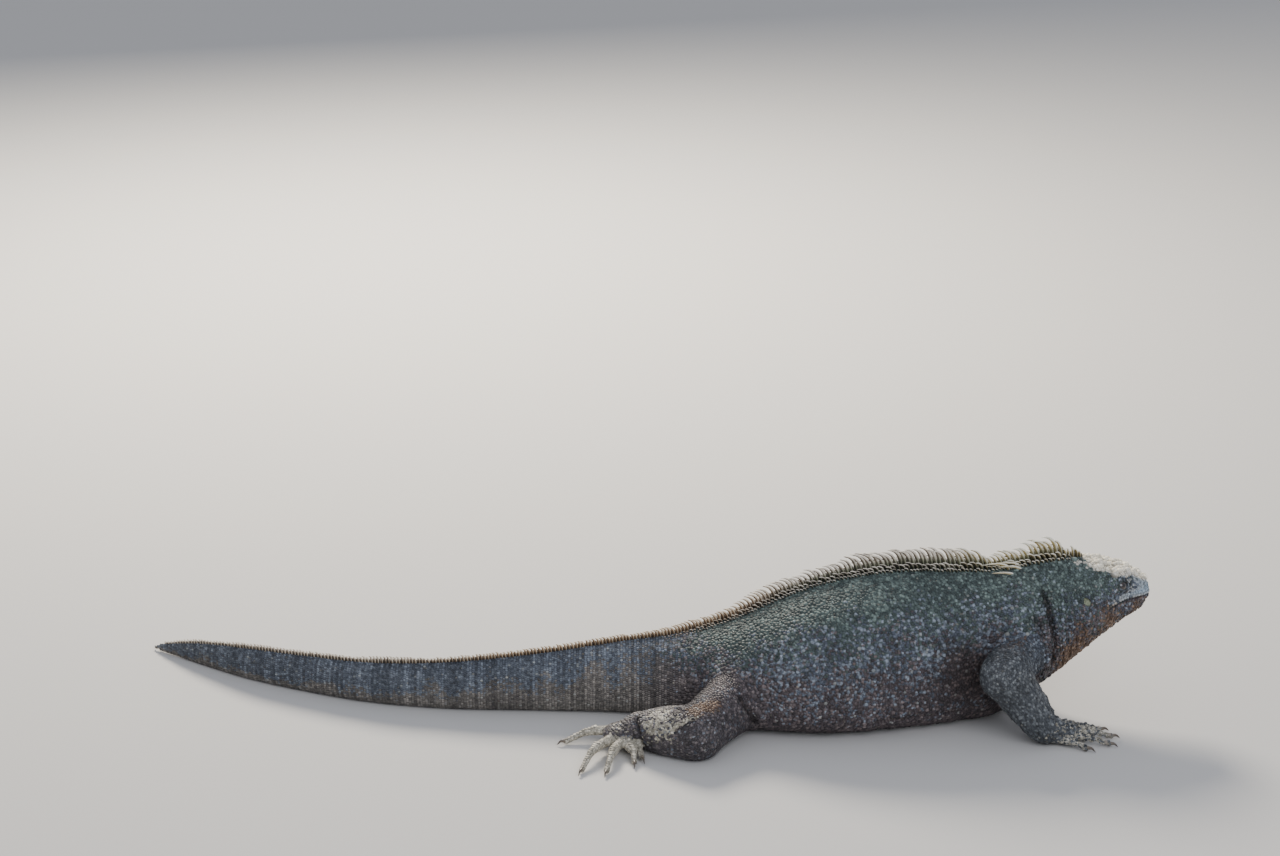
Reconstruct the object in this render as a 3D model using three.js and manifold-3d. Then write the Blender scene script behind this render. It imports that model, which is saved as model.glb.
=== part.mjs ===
// A life-size adult male marine iguana, resting on its belly with its head raised and turned a little
// to its left. Its right hind leg trails behind it and its left hind leg is folded at its side.
// Millimetres, +Z up. The animal faces +X, its right side is -Y, and the floor is the level z = 0.
import * as THREE from "three";
import { mergeVertices } from "three/addons/utils/BufferGeometryUtils.js";
import Module from "manifold-3d";

const wasm = await Module();
wasm.setup();

const GAP = 0.3; // clearance between neighbouring pieces
const FINENESS = 0.05; // how far a surface may move where joined facets are merged
const UP = new THREE.Vector3(0, 0, 1);
const point = (x, y, z) => new THREE.Vector3(x, y, z);

// The trunk from the tip of the tail to the snout. Each row holds the place on the floor (x, y), the
// half width, the levels of the top, the underside and the greatest width, and how square the section
// is above and below that level, where 2 is an ellipse.
const TRUNK = [
  [-794, 165, 1.8, 6, 0.5, 3, 2.0, 2.0],
  [-734, 121, 4.6, 25.5, -0.4, 10, 1.9, 2.2],
  [-672, 79, 7.2, 37, -0.6, 14, 1.9, 2.2],
  [-606, 46, 9.8, 42.5, -0.8, 17, 1.9, 2.2],
  [-528, 16, 12.8, 47, -1.0, 20, 1.9, 2.2],
  [-442, 1, 16.5, 54, -1.2, 24, 1.9, 2.3],
  [-342, 0, 23, 65, -1.5, 28, 1.9, 2.4],
  [-250, 0, 33, 80, -2.0, 34, 1.9, 2.4],
  [-186, 0, 50, 90, -2.0, 38, 1.9, 2.5],
  [-122, 0, 83, 112, -3.0, 44, 1.85, 2.8],
  [-64, 0, 101, 139, -4.0, 54, 1.85, 3.2],
  [-4, 0, 101, 157, -4.0, 60, 1.85, 3.3],
  [56, 0, 91, 165, -4.0, 66, 1.85, 3.0],
  [112, 0, 75, 165, -3.0, 72, 1.85, 2.8],
  [152, 0, 65, 166, 0.0, 80, 1.85, 2.5],
  [182, 0, 58, 171, 12, 92, 1.9, 2.2],
  [210, 1, 51, 176, 37, 106, 1.95, 2.1],
  [236, 5.5, 45, 177, 61, 114, 2.1, 2.2],
  [262, 13, 39.5, 171, 81, 126, 2.3, 2.2],
  [286, 21, 32.5, 162, 96, 131, 2.5, 2.3],
  [306, 28.5, 27, 154, 105, 132, 2.6, 2.4],
  [323, 35, 21.5, 145, 109, 129.5, 2.4, 2.4],
];
const NOSE_DOME = 15; // how far back the rounding of the snout reaches
const TIP_DOME = 8; // and that of the tail's tip
const BLUNT = 2.6; // how blunt both are, where 2 is round
const CHIN_SLOPE = 0.3; // how far the lower jaw falls back behind the upper for its depth

// The nodes of the trunk: where each begins and ends along x, its sides and its rings.
const TRUNK_PARTS = [
  ["tail_tip", -794, -606, 12, 8],
  ["tail_middle", -606, -400, 14, 7],
  ["tail_base", -400, -186, 16, 8],
  ["torso", -186, 207, 26, 17],
  ["neck", 207, 231, 26, 3],
  ["head", 231, 323, 34, 19],
];

// The crest over the spine: x, height of the spines, backward lean for each unit of height, half
// length and half thickness of a root, and the spacing from one root to the next.
const CREST = [
  [-778, 2.2, 0.5, 1.6, 0.7, 7.0],
  [-700, 4.5, 0.5, 2.0, 0.9, 7.5],
  [-560, 5.5, 0.45, 2.3, 1.0, 8.0],
  [-420, 5.5, 0.45, 2.3, 1.0, 8.0],
  [-250, 6.5, 0.6, 2.3, 1.1, 7.5],
  [-170, 9.0, 0.9, 2.3, 1.2, 7.0],
  [-110, 13, 1.0, 2.4, 1.2, 7.0],
  [-40, 17, 0.95, 2.5, 1.3, 7.0],
  [30, 20, 0.8, 2.6, 1.3, 7.0],
  [90, 23, 0.55, 2.6, 1.4, 6.8],
  [140, 22, 0.55, 2.6, 1.4, 6.8],
  [160, 13, 0.8, 2.4, 1.3, 7.0],
  [172, 18, 0.9, 2.5, 1.4, 6.5],
  [188, 27, 0.75, 2.7, 1.5, 6.0],
  [212, 28, 0.55, 2.7, 1.5, 6.0],
  [228, 23, 0.45, 2.5, 1.4, 6.0],
  [234, 11, 0.4, 2.0, 1.2, 6.0],
  [243, 6, 0.3, 1.8, 1.2, 6.0],
];
const CREST_SINK = 4.5; // how deep a spine's root goes
const SHORT_SPINE = 8;
const CREST_SWAY = 0.09; // how far a spine leans to one side or the other, for its height
const CREST_MARGIN = 3.2; // how near the end of a node the middle of a spine may stand

// The head: how far along x each feature lies, and at what angle round the section, where 0 is the
// widest level and 90 the crown. Both sides have the same ones.
const EYE = { x: 283, angle: 27, radius: 7.4, depth: 5.2 };
const LID = { along: 11.5, across: 8.9, upward: 8.7 };
const EYE_OPENING = { along: 6.4, across: 6, upward: 4.3, out: 8.5 };
const EAR = { x: 241, angle: 20, along: 4.6, upward: 5.8, depth: 2.6 };
const NOSTRIL = { x: 309, angle: 41, radius: 1.9 };

// Swellings and hollows of the head's skin: how far each reaches forwards and upwards, and its height.
const FORMS = [
  { x: 254, angle: -12, along: 30, upward: 27, height: 5.5 }, // jowl
  { x: 281, angle: 50, along: 19, upward: 8, height: 3.6 }, // brow
  { x: 284, angle: 8, along: 17, upward: 9, height: -2.2 }, // hollow under the eye
  { x: 266, angle: 34, along: 13, upward: 9, height: -1.6 }, // hollow behind the eye
  { x: 308, angle: 38, along: 9, upward: 8, height: 2.2 }, // mound of the nostril
  { x: 303, angle: 8, along: 18, upward: 8, height: 1.6 }, // muzzle over the lip
  { x: 296, angle: -30, along: 24, upward: 9, height: 1.2 }, // lower jaw
];

const JOWL_ROOM = 6; // how far the forms of the head stand out at most

// The line of the mouth: its level along x, from the corner to the front of the snout.
const MOUTH = [
  [261, 123.5],
  [268, 127],
  [286, 130.5],
  [306, 131],
  [323, 129.5],
];
const MOUTH_OPEN = 1.2;
const MOUTH_DEPTH = 2.6;
const MOUTH_CORNER = 8; // the length over which the groove deepens from its corner
const LIP_HEIGHT = 4;
const LIP_SWELL = 0.8;
const LIP_END = 4; // how far behind the tip of the snout the lips have faded out
const CHEEK_ROWS = [3, 9]; // the height of the rows that lead to the lips, on the skin behind the corner
const UPPER_ROWS = 16; // rows of the head's skin over the mouth, from lip to lip
const LOWER_ROWS = 10; // and under it

// The raised scutes of the head: x from and to, angle from and to, spacing, root radius and height.
const SCUTES = [
  { x: [249, 263], angle: [56, 124], step: 9, radius: 3.6, height: 1.5 }, // back of the crown
  { x: [270, 298], angle: [52, 128], step: 8, radius: 4.1, height: 2.8 }, // cones of the crown
  { x: [304, 318], angle: [44, 136], step: 7.4, radius: 3.6, height: 2.4 }, // cones of the snout
];

const SCUTE_SINK = 1.2; // how deep the root of a scute goes
const EYE_ROOM = 13; // how near the middle of an eye a scute may stand
const NOSTRIL_ROOM = 6.5; // and a nostril

// Each leg: its joints, the thickness of its lengths, and its toes from the first to the fifth, each
// with its root, its middle knuckle and its tip on the floor.
const LEGS = {
  front_right: {
    names: ["upper_arm", "forearm", "hand"],
    joints: [point(196, -12, 92), point(159, -93, 78), point(201, -95, 19), point(226, -90, 12)],
    radii: [25, 26, 17.5],
    swell: 2,
    palm: 15,
    toes: [
      [point(216, -77, 10), point(230, -64, 9.5), point(243, -58, 4)],
      [point(228, -82, 10), point(248, -74, 10), point(266, -69, 4)],
      [point(231, -90, 10), point(254, -87, 10), point(275, -86, 4)],
      [point(228, -97, 10), point(250, -101, 9.5), point(270, -106, 4)],
      [point(216, -101, 9), point(232, -110, 8.5), point(245, -117, 4)],
    ],
    toeRadius: 6,
    claw: 11,
  },
  front_left: {
    names: ["upper_arm", "forearm", "hand"],
    joints: [point(194, 14, 92), point(140, 80, 78), point(172, 102, 19), point(190, 112, 12)],
    radii: [25, 26, 17.5],
    swell: 2,
    palm: 15,
    toes: [
      [point(185, 97, 9), point(199, 91, 8.5), point(211, 87, 4)],
      [point(195, 106, 9), point(213, 106, 9), point(230, 107, 4)],
      [point(196, 114, 9), point(214, 121, 9.5), point(231, 129, 4)],
      [point(190, 121, 9), point(204, 134, 9), point(216, 146, 4)],
      [point(179, 122, 9), point(186, 136, 8), point(191, 149, 4)],
    ],
    toeRadius: 6,
    claw: 11,
  },
  hind_right: {
    names: ["thigh", "shank", "foot"],
    joints: [point(-97, -21, 47), point(-172, -129, 27), point(-231, -102, 20), point(-256, -101, 14)],
    radii: [39, 27.5, 19],
    swell: 4,
    palm: 16.5,
    toes: [
      [point(-236, -118, 9), point(-233, -130, 11), point(-230, -141, 5)],
      [point(-244, -122, 10), point(-239, -138, 11), point(-238, -152, 4.5)],
      [point(-254, -122, 11), point(-262, -150, 12), point(-267, -174, 4)],
      [point(-264, -114, 12), point(-282, -142, 13), point(-293, -171, 4)],
      [point(-262, -93, 14), point(-287, -91, 12), point(-311, -99, 4)],
    ],
    toeRadius: 6.4,
    claw: 11,
  },
  hind_left: {
    names: ["thigh", "shank", "foot"],
    joints: [point(-134, 24, 47), point(-74, 112, 28), point(-132, 130, 20), point(-152, 142, 14)],
    radii: [39, 27.5, 19],
    swell: 4,
    palm: 16.5,
    toes: [
      [point(-148, 128, 9), point(-162, 122, 10), point(-174, 119, 4)],
      [point(-158, 138, 10), point(-178, 138, 11), point(-193, 139, 4)],
      [point(-160, 147, 10), point(-181, 155, 12), point(-203, 164, 4)],
      [point(-155, 155, 11), point(-172, 174, 13), point(-189, 194, 4)],
      [point(-140, 152, 11), point(-139, 172, 11), point(-136, 190, 4)],
    ],
    toeRadius: 6.4,
    claw: 11,
  },
};

const LIMB_SIDES = 12;
const BEND_CREASE = 2; // the radius of the crease inside a bent elbow or knee
const ELBOW = 1.0; // how far the point of the joint stands out, for the limb's radius
const PALM_FLAT = 0.7; // the height of a palm over its width

const SKIN = { color: 0x4a4a46, roughness: 0.85, metalness: 0 };
const CLAW = { color: 0x1d1b1a, roughness: 0.45, metalness: 0 };
const IRIS = { color: 0x2c1d14, roughness: 0.12, metalness: 0 };

// Surfaces and solids

// Smooth values between the rows of a table whose first column is the distance along it.
class Table {
  constructor(rows) {
    this.start = rows[0][0];
    this.end = rows[rows.length - 1][0];
    this.curve = new THREE.CubicInterpolant(
      rows.map((row) => row[0]),
      rows.flatMap((row) => row.slice(1)),
      rows[0].length - 1,
    );
  }
  at(place) {
    return [...this.curve.evaluate(THREE.MathUtils.clamp(place, this.start, this.end))];
  }
}

// A geometry as a manifold-3d solid, turned right side out.
function solid(geometry) {
  geometry.deleteAttribute("normal");
  geometry.deleteAttribute("uv");
  const merged = mergeVertices(geometry, 1e-4);
  const triVerts = Uint32Array.from(merged.index.array);
  const vertProperties = Float32Array.from(merged.attributes.position.array);
  const made = new wasm.Manifold(new wasm.Mesh({ numProp: 3, vertProperties, triVerts }));
  if (made.volume() > 0) return made;
  for (let i = 0; i < triVerts.length; i += 3) {
    [triVerts[i + 1], triVerts[i + 2]] = [triVerts[i + 2], triVerts[i + 1]];
  }
  return new wasm.Manifold(new wasm.Mesh({ numProp: 3, vertProperties, triVerts }));
}

// A closed surface over the grid of a sphere: its first point, the rings from there on, its last.
function loft(first, rings, last) {
  const around = rings[0].length;
  const geometry = new THREE.SphereGeometry(1, around, rings.length + 1);
  const { position } = geometry.attributes;
  for (let i = 0; i < position.count; i++) {
    const row = Math.floor(i / (around + 1));
    const column = (i % (around + 1)) % around;
    const place = row === 0 ? first : row > rings.length ? last : rings[row - 1][column];
    position.setXYZ(i, place.x, place.y, place.z);
  }
  return solid(geometry);
}

// The same with flat ends.
function flatLoft(rings) {
  const middle = (ring) =>
    ring.reduce((sum, place) => sum.add(place), new THREE.Vector3()).divideScalar(ring.length);
  return loft(middle(rings[0]), rings, middle(rings[rings.length - 1]));
}

function union(solids) {
  return solids.reduce((all, one) => all.add(one));
}

function largest(made) {
  return made.decompose().reduce((best, one) => (one.volume() > best.volume() ? one : best));
}

// The part of a solid that lies past a plane through a point, at a distance from it.
function past(made, place, normal, distance) {
  return made.trimByPlane(normal.toArray(), normal.dot(place) + distance);
}

function aboveFloor(made) {
  return made.trimByPlane([0, 0, 1], 0);
}

// A seeded random number from 0 to 1.
function randomFrom(seed) {
  let state = seed;
  return () => {
    state = (state * 1664525 + 1013904223) % 4294967296;
    return state / 4294967296;
  };
}

// The trunk

const trunkTable = (() => {
  let distance = 0;
  return new Table(
    TRUNK.map((row, i) => {
      if (i) distance += Math.hypot(row[0] - TRUNK[i - 1][0], row[1] - TRUNK[i - 1][1]);
      return [distance, ...row];
    }),
  );
})();
const SNOUT = trunkTable.end;

// The distance along the trunk at which it passes a given x.
function distanceAt(x) {
  let low = 0;
  let high = SNOUT;
  while (high - low > 1e-4) {
    const middle = (low + high) / 2;
    if (trunkTable.at(middle)[0] < x) low = middle;
    else high = middle;
  }
  return (low + high) / 2;
}

// The section of the trunk at a distance along it, with extra thickness all round.
function sectionAt(distance, extra = 0) {
  const [x, y, half, top, bottom, widest, roof, keel] = trunkTable.at(distance);
  const [x0, y0] = trunkTable.at(Math.max(distance - 1, 0));
  const [x1, y1] = trunkTable.at(Math.min(distance + 1, SNOUT));
  const forward = point(x1 - x0, y1 - y0, 0).normalize();
  const nose = THREE.MathUtils.clamp((SNOUT - distance) / NOSE_DOME, 0, 1);
  const tip = THREE.MathUtils.clamp(distance / TIP_DOME, 0, 1);
  const shrink = (1 - (1 - Math.min(nose, tip)) ** BLUNT) ** (1 / BLUNT);
  return {
    centre: point(x, y, widest),
    forward,
    right: forward.clone().cross(UP),
    half: half * shrink + extra,
    rise: (top - widest) * shrink + extra,
    drop: (widest - bottom) * shrink + extra,
    roof,
    keel,
    chin: CHIN_SLOPE * THREE.MathUtils.smoothstep(distance, SNOUT - 40, SNOUT),
  };
}

// A point of the section, where angle 0 is the right side and a quarter turn is the top.
function sectionPoint(section, angle) {
  const across = Math.cos(angle);
  const upward = Math.sin(angle);
  const power = 2 / (upward > 0 ? section.roof : section.keel);
  const reach = upward > 0 ? section.rise : section.drop;
  const level = reach * Math.sign(upward) * Math.abs(upward) ** power;
  return section.centre
    .clone()
    .addScaledVector(section.right, section.half * Math.sign(across) * Math.abs(across) ** power)
    .addScaledVector(UP, level)
    .addScaledVector(section.forward, Math.min(level, 0) * section.chin);
}

// The angle round a section at which it reaches a level, on the right side.
function angleAtLevel(section, level) {
  const share = (level - section.centre.z) / (level > section.centre.z ? section.rise : section.drop);
  const power = (level > section.centre.z ? section.roof : section.keel) / 2;
  return Math.asin(Math.sign(share) * Math.min(Math.abs(share), 0.999) ** power);
}

// The distances of the rings of a length of trunk, close together where the snout rounds off.
function ringDistances(from, to, along) {
  return Array.from({ length: along + 1 }, (_, j) => {
    const share = to === SNOUT ? Math.sin((j / along) * (Math.PI / 2)) : j / along;
    return THREE.MathUtils.clamp(THREE.MathUtils.lerp(from, to, share), 0.4, SNOUT - 0.15);
  });
}

function trunkPiece(from, to, around, along, extra = 0) {
  const rings = ringDistances(from, to, along).map((distance) => {
    const section = sectionAt(distance, extra);
    return Array.from({ length: around }, (_, i) => sectionPoint(section, (2 * Math.PI * i) / around));
  });
  return aboveFloor(flatLoft(rings));
}

// A place on the trunk's skin, with its outward and forward directions.
function skin(distance, angle) {
  const place = sectionPoint(sectionAt(distance), angle);
  const round = sectionPoint(sectionAt(distance), angle + 0.02).sub(place);
  const along = place.clone().sub(sectionPoint(sectionAt(distance - 0.5), angle)).normalize();
  return { place, along, out: along.clone().cross(round).normalize() };
}

function skinAt(x, degrees) {
  return skin(distanceAt(x), THREE.MathUtils.degToRad(degrees));
}

// An ellipsoid on the skin, whose centre lies a distance outside it, or inside if negative.
function moundAt(x, degrees, along, across, upward, out = 0, around = 12, rows = 8) {
  const skin = skinAt(x, degrees);
  const geometry = new THREE.SphereGeometry(1, around, rows).rotateX(Math.PI / 2);
  geometry.scale(along, upward, across);
  const centre = skin.place.clone().addScaledVector(skin.out, out);
  const over = skin.out.clone().cross(skin.along).normalize();
  const frame = new THREE.Matrix4().makeBasis(skin.along, over, skin.out).setPosition(centre);
  return solid(geometry.applyMatrix4(frame));
}

const bothSides = (degrees) => [degrees, 180 - degrees];

// The crest

const crestTable = new Table(CREST);

// One spine: a blade of four sides that tapers to its tip, and curves backwards unless it is short.
function spine(x, scale, sway) {
  const [height, lean, half, thick] = crestTable.at(x);
  const { centre, forward, right, rise } = sectionAt(distanceAt(x));
  const crown = centre.clone().addScaledVector(UP, rise);
  const tall = height * scale;
  const sink = Math.min(CREST_SINK, rise / 2);
  const at = (t) =>
    crown
      .clone()
      .addScaledVector(UP, t * tall)
      .addScaledVector(forward, -lean * tall * t ** 1.4)
      .addScaledVector(right, sway * tall * t);
  const ring = (place, share) => [
    place.clone().addScaledVector(forward, half * share),
    place.clone().addScaledVector(right, thick * share),
    place.clone().addScaledVector(forward, -half * share),
    place.clone().addScaledVector(right, -thick * share),
  ];
  const root = crown.clone().addScaledVector(UP, -sink);
  const rings = [ring(root, 1)];
  if (height > SHORT_SPINE) rings.push(ring(at(0.45), 0.72));
  return loft(root, rings, at(1));
}

function crestOver(fromX, toX) {
  const random = randomFrom(Math.round(5000 + fromX));
  const spines = [];
  let x = Math.max(fromX + CREST_MARGIN, CREST[0][0]);
  const end = Math.min(toX - CREST_MARGIN, CREST[CREST.length - 1][0]);
  while (x <= end) {
    spines.push(spine(x, 0.9 + 0.2 * random(), CREST_SWAY * (2 * random() - 1)));
    x += crestTable.at(x)[4] * (0.94 + 0.12 * random());
  }
  return spines;
}

// The head

const mouthTable = new Table(MOUTH);

const forms = FORMS.flatMap((form) =>
  bothSides(form.angle).map((degrees) => ({ ...form, centre: skinAt(form.x, degrees).place })),
);

// How far the skin of the head stands out of the plain trunk at a place, level with a section.
function swelling(place, section) {
  return forms.reduce((sum, form) => {
    const offset = place.clone().sub(form.centre);
    const forwards = offset.dot(section.forward) / form.along;
    const sideways = offset.dot(section.right) / form.along;
    const upwards = offset.z / form.upward;
    const near = Math.max(0, 1 - forwards ** 2 - sideways ** 2 - upwards ** 2);
    return sum + form.height * near ** 2;
  }, 0);
}

// One ring of the head: the angle of each point and how far it stands out, with the lips and the
// groove between them on both sides.
function headRing(distance) {
  const section = sectionAt(distance);
  const x = section.centre.x;
  const [level] = mouthTable.at(x);
  const split = THREE.MathUtils.smoothstep(x, mouthTable.start, mouthTable.start + MOUTH_CORNER);
  const narrow = Math.min(section.rise, section.drop) / 3;
  const angleAt = (above) => angleAtLevel(section, level + Math.sign(above) * Math.min(Math.abs(above), narrow));
  const edge = THREE.MathUtils.lerp(CHEEK_ROWS[0], MOUTH_OPEN / 2, split);
  const height = THREE.MathUtils.lerp(CHEEK_ROWS[1], LIP_HEIGHT, split);
  const upper = [angleAt(edge), angleAt(height)];
  const lower = [angleAt(-edge), angleAt(-height)];
  const swell = LIP_SWELL * split * THREE.MathUtils.smoothstep(SNOUT - distance, 0, LIP_END);
  const rows = [
    [angleAt(0), -MOUTH_DEPTH * split],
    [upper[0], swell * 0.6],
    [(upper[0] + upper[1]) / 2, swell],
    [upper[1], 0],
  ];
  for (let i = 1; i < UPPER_ROWS; i++) {
    rows.push([THREE.MathUtils.lerp(upper[1], Math.PI - upper[1], i / UPPER_ROWS), 0]);
  }
  rows.push(
    [Math.PI - upper[1], 0],
    [Math.PI - (upper[0] + upper[1]) / 2, swell],
    [Math.PI - upper[0], swell * 0.6],
    [Math.PI - angleAt(0), -MOUTH_DEPTH * split],
    [Math.PI - lower[0], swell * 0.6],
    [Math.PI - lower[1], 0],
  );
  for (let i = 1; i < LOWER_ROWS; i++) {
    rows.push([THREE.MathUtils.lerp(Math.PI - lower[1], 2 * Math.PI + lower[1], i / LOWER_ROWS), 0]);
  }
  rows.push([2 * Math.PI + lower[1], 0], [2 * Math.PI + lower[0], swell * 0.6]);
  return rows.map(([angle, offset]) => {
    const { place, out } = skin(distance, angle);
    return place.addScaledVector(out, offset + swelling(place, section));
  });
}

// A low cone of five sides on the skin.
function scute(x, degrees, radius, height) {
  const { place, out } = skinAt(x, degrees);
  const raised = swelling(place, sectionAt(distanceAt(x)));
  const geometry = new THREE.ConeGeometry(radius * (1 + SCUTE_SINK / height), height + SCUTE_SINK, 5, 1);
  const turn = new THREE.Quaternion().setFromUnitVectors(point(0, 1, 0), out);
  const centre = place.clone().addScaledVector(out, raised + (height - SCUTE_SINK) / 2);
  return solid(geometry.applyQuaternion(turn).translate(centre.x, centre.y, centre.z));
}

function headScutes() {
  const random = randomFrom(77);
  const keepClear = bothSides(EYE.angle).map((degrees) => skinAt(EYE.x, degrees).place);
  const nostrils = bothSides(NOSTRIL.angle).map((degrees) => skinAt(NOSTRIL.x, degrees).place);
  const made = [];
  for (const field of SCUTES) {
    const rows = Math.round((field.x[1] - field.x[0]) / (field.step * 0.9));
    for (let row = 0; row <= rows; row++) {
      const x = THREE.MathUtils.lerp(field.x[0], field.x[1], row / rows);
      const low = skinAt(x, field.angle[0]).place;
      const high = skinAt(x, 90).place;
      const places = Math.max(1, Math.round((2 * low.distanceTo(high)) / field.step));
      for (let i = 0; i <= places; i++) {
        const share = THREE.MathUtils.clamp((i + (row % 2 ? 0.5 : 0)) / places, 0, 1);
        const degrees = THREE.MathUtils.lerp(field.angle[0], field.angle[1], share);
        const { place } = skinAt(x, degrees);
        const nearEye = keepClear.some((eye) => eye.distanceTo(place) < EYE_ROOM);
        const nearNostril = nostrils.some((nostril) => nostril.distanceTo(place) < NOSTRIL_ROOM);
        const size = 0.85 + 0.3 * random();
        if (nearEye || nearNostril || (row % 2 && i === places)) continue;
        made.push(scute(x + random() - 0.5, degrees, field.radius * size, field.height * size));
      }
    }
  }
  return made;
}

function eyeCentre(degrees) {
  const { place, out } = skinAt(EYE.x, degrees);
  return place.clone().addScaledVector(out, -EYE.depth);
}

function eyeBall(degrees, radius, around, rows) {
  const centre = eyeCentre(degrees);
  return solid(
    new THREE.SphereGeometry(radius, around, rows).translate(centre.x, centre.y, centre.z),
  );
}

function headFrom(from, rows) {
  const raised = [flatLoft(ringDistances(from, SNOUT, rows).map(headRing)), ...headScutes()];
  const sunk = [];
  for (const side of [0, 1]) {
    const at = (feature) => bothSides(feature.angle)[side];
    raised.push(moundAt(EYE.x, at(EYE), LID.along, LID.across, LID.upward, -EYE.depth, 16, 10));
    sunk.push(eyeBall(at(EYE), EYE.radius + GAP, 14, 10));
    const { along, across, upward, out } = EYE_OPENING;
    sunk.push(moundAt(EYE.x, at(EYE), along, across, upward, out - EYE.depth, 12, 6));
    sunk.push(moundAt(NOSTRIL.x, at(NOSTRIL), NOSTRIL.radius, 4.5, NOSTRIL.radius, 2.4, 8, 6));
    sunk.push(moundAt(EAR.x, at(EAR), EAR.along, EAR.depth, EAR.upward, 1.2, 12, 6));
  }
  return union(raised).subtract(union(sunk));
}

// Limbs

// A limb of two lengths with a rounded bend: rings across its first length, fanned round the inside of
// the bend, and across its second length. The radii are those of the root, the bend and the end, and
// swell is how much the second length bulges in its middle.
function bentLimb(root, bend, end, [rootRadius, bendRadius, endRadius], swell) {
  const first = bend.clone().sub(root).normalize();
  const second = end.clone().sub(bend).normalize();
  const turn = first.angleTo(second);
  const across = first.clone().cross(second).normalize();
  const inward = second.clone().sub(first).normalize();
  const reach = bendRadius + BEND_CREASE;
  const hub = bend.clone().addScaledVector(inward, reach / Math.cos(turn / 2));
  const sharp = (hub.distanceTo(bend) + bendRadius * ELBOW - BEND_CREASE) / 2; // half width at the point
  const outer = across.clone().cross(first).negate();
  const tangent = reach * Math.tan(turn / 2);
  const ring = (centre, side, deep, wide) =>
    Array.from({ length: LIMB_SIDES }, (_, i) => {
      const angle = (2 * Math.PI * i) / LIMB_SIDES;
      return centre
        .clone()
        .addScaledVector(side, deep * Math.cos(angle))
        .addScaledVector(across, wide * Math.sin(angle));
    });
  const rings = [];
  const toBend = bend.clone().addScaledVector(first, -tangent);
  const fromBend = bend.clone().addScaledVector(second, tangent);
  for (let j = 0; j < 3; j++) {
    const radius = THREE.MathUtils.lerp(rootRadius, bendRadius, j / 3);
    rings.push(ring(root.clone().lerp(toBend, j / 3), outer, radius, radius));
  }
  const fans = Math.max(3, Math.round(turn / 0.32));
  for (let j = 0; j <= fans; j++) {
    const side = outer.clone().applyAxisAngle(across, (turn * j) / fans);
    const deep = THREE.MathUtils.lerp(bendRadius, sharp, Math.sin((Math.PI * j) / fans) ** 2);
    const centre = hub.clone().addScaledVector(side, BEND_CREASE + deep);
    rings.push(ring(centre, side, deep, bendRadius));
  }
  const last = outer.clone().applyAxisAngle(across, turn);
  const beyondEnd = end.clone().addScaledVector(second, endRadius * 0.6);
  for (let j = 1; j <= 4; j++) {
    const share = j / 4;
    const radius = THREE.MathUtils.lerp(bendRadius, endRadius, share) + swell * Math.sin(Math.PI * share);
    rings.push(ring(fromBend.clone().lerp(j < 4 ? end : beyondEnd, share), last, radius, radius));
  }
  return flatLoft(rings);
}

// A tube with flat ends along a curve: a toe or a claw.
function sweep(curve, radiusAt, around, along, tall) {
  const rings = [];
  for (let j = 0; j <= along; j++) {
    const centre = curve.getPointAt(j / along);
    const axis = curve.getTangentAt(j / along);
    const side = axis.clone().cross(UP).normalize();
    const over = side.clone().cross(axis).normalize();
    const radius = radiusAt(j / along);
    rings.push(
      Array.from({ length: around }, (_, i) => {
        const angle = (2 * Math.PI * (i + 0.5)) / around;
        return centre
          .clone()
          .addScaledVector(side, radius * Math.cos(angle))
          .addScaledVector(over, radius * tall * Math.sin(angle));
      }),
    );
  }
  return flatLoft(rings);
}

// A toe's radius along it: thick at the root, with a knuckle in the middle and a deeper last joint.
function toeRadiusAt(radius) {
  return (t) => radius * (1.1 - 0.45 * t + 0.06 * Math.cos(t * Math.PI * 4));
}

function clawOn(curve, tip, length) {
  const axis = curve.getTangentAt(1);
  const level = axis.clone().setZ(0).normalize();
  const bow = tip.clone().addScaledVector(level, length * 0.55).setZ(tip.z + 0.8);
  const end = tip.clone().addScaledVector(level, length).setZ(1);
  const path = new THREE.CatmullRomCurve3([tip.clone().addScaledVector(axis, -2), tip, bow, end]);
  const claw = sweep(path, (t) => 2.9 * (1 - t) ** 0.7 + 0.3, 5, 3, 1.2);
  return largest(aboveFloor(past(claw, tip, axis, GAP)));
}

// Nodes

const group = new THREE.Group();

function addNode(name, made, finish) {
  const { numProp, vertProperties, triVerts } = made.simplify(FINENESS).getMesh();
  const positions = new Float32Array((vertProperties.length / numProp) * 3);
  for (let i = 0; i < positions.length / 3; i++) {
    positions.set(vertProperties.subarray(i * numProp, i * numProp + 3), i * 3);
  }
  const geometry = new THREE.BufferGeometry();
  geometry.setAttribute("position", new THREE.BufferAttribute(positions, 3));
  geometry.setIndex(new THREE.BufferAttribute(triVerts, 1));
  geometry.computeVertexNormals();
  const mesh = new THREE.Mesh(geometry, new THREE.MeshStandardMaterial(finish));
  mesh.name = name;
  group.add(mesh);
}

const ends = ([name, fromX, toX]) => [
  name === "tail_tip" ? 0 : distanceAt(fromX) + GAP / 2,
  name === "head" ? SNOUT : distanceAt(toX) - GAP / 2,
];

// What the limbs are cut back from: the lengths of the trunk, thicker by the gap, and a core that
// closes the gaps between them.
const trunkZone = union([
  trunkPiece(0, SNOUT, 26, 60, -1.5),
  ...TRUNK_PARTS.map((part) =>
    trunkPiece(...ends(part), part[3], part[4], part[0] === "head" ? JOWL_ROOM : GAP),
  ),
]);

for (const part of TRUNK_PARTS) {
  const [name, fromX, toX, around, along] = part;
  const [from, to] = ends(part);
  const base = name === "head" ? headFrom(from, along) : trunkPiece(from, to, around, along);
  addNode(name, largest(union([base, ...crestOver(fromX, toX)])), SKIN);
}

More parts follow.
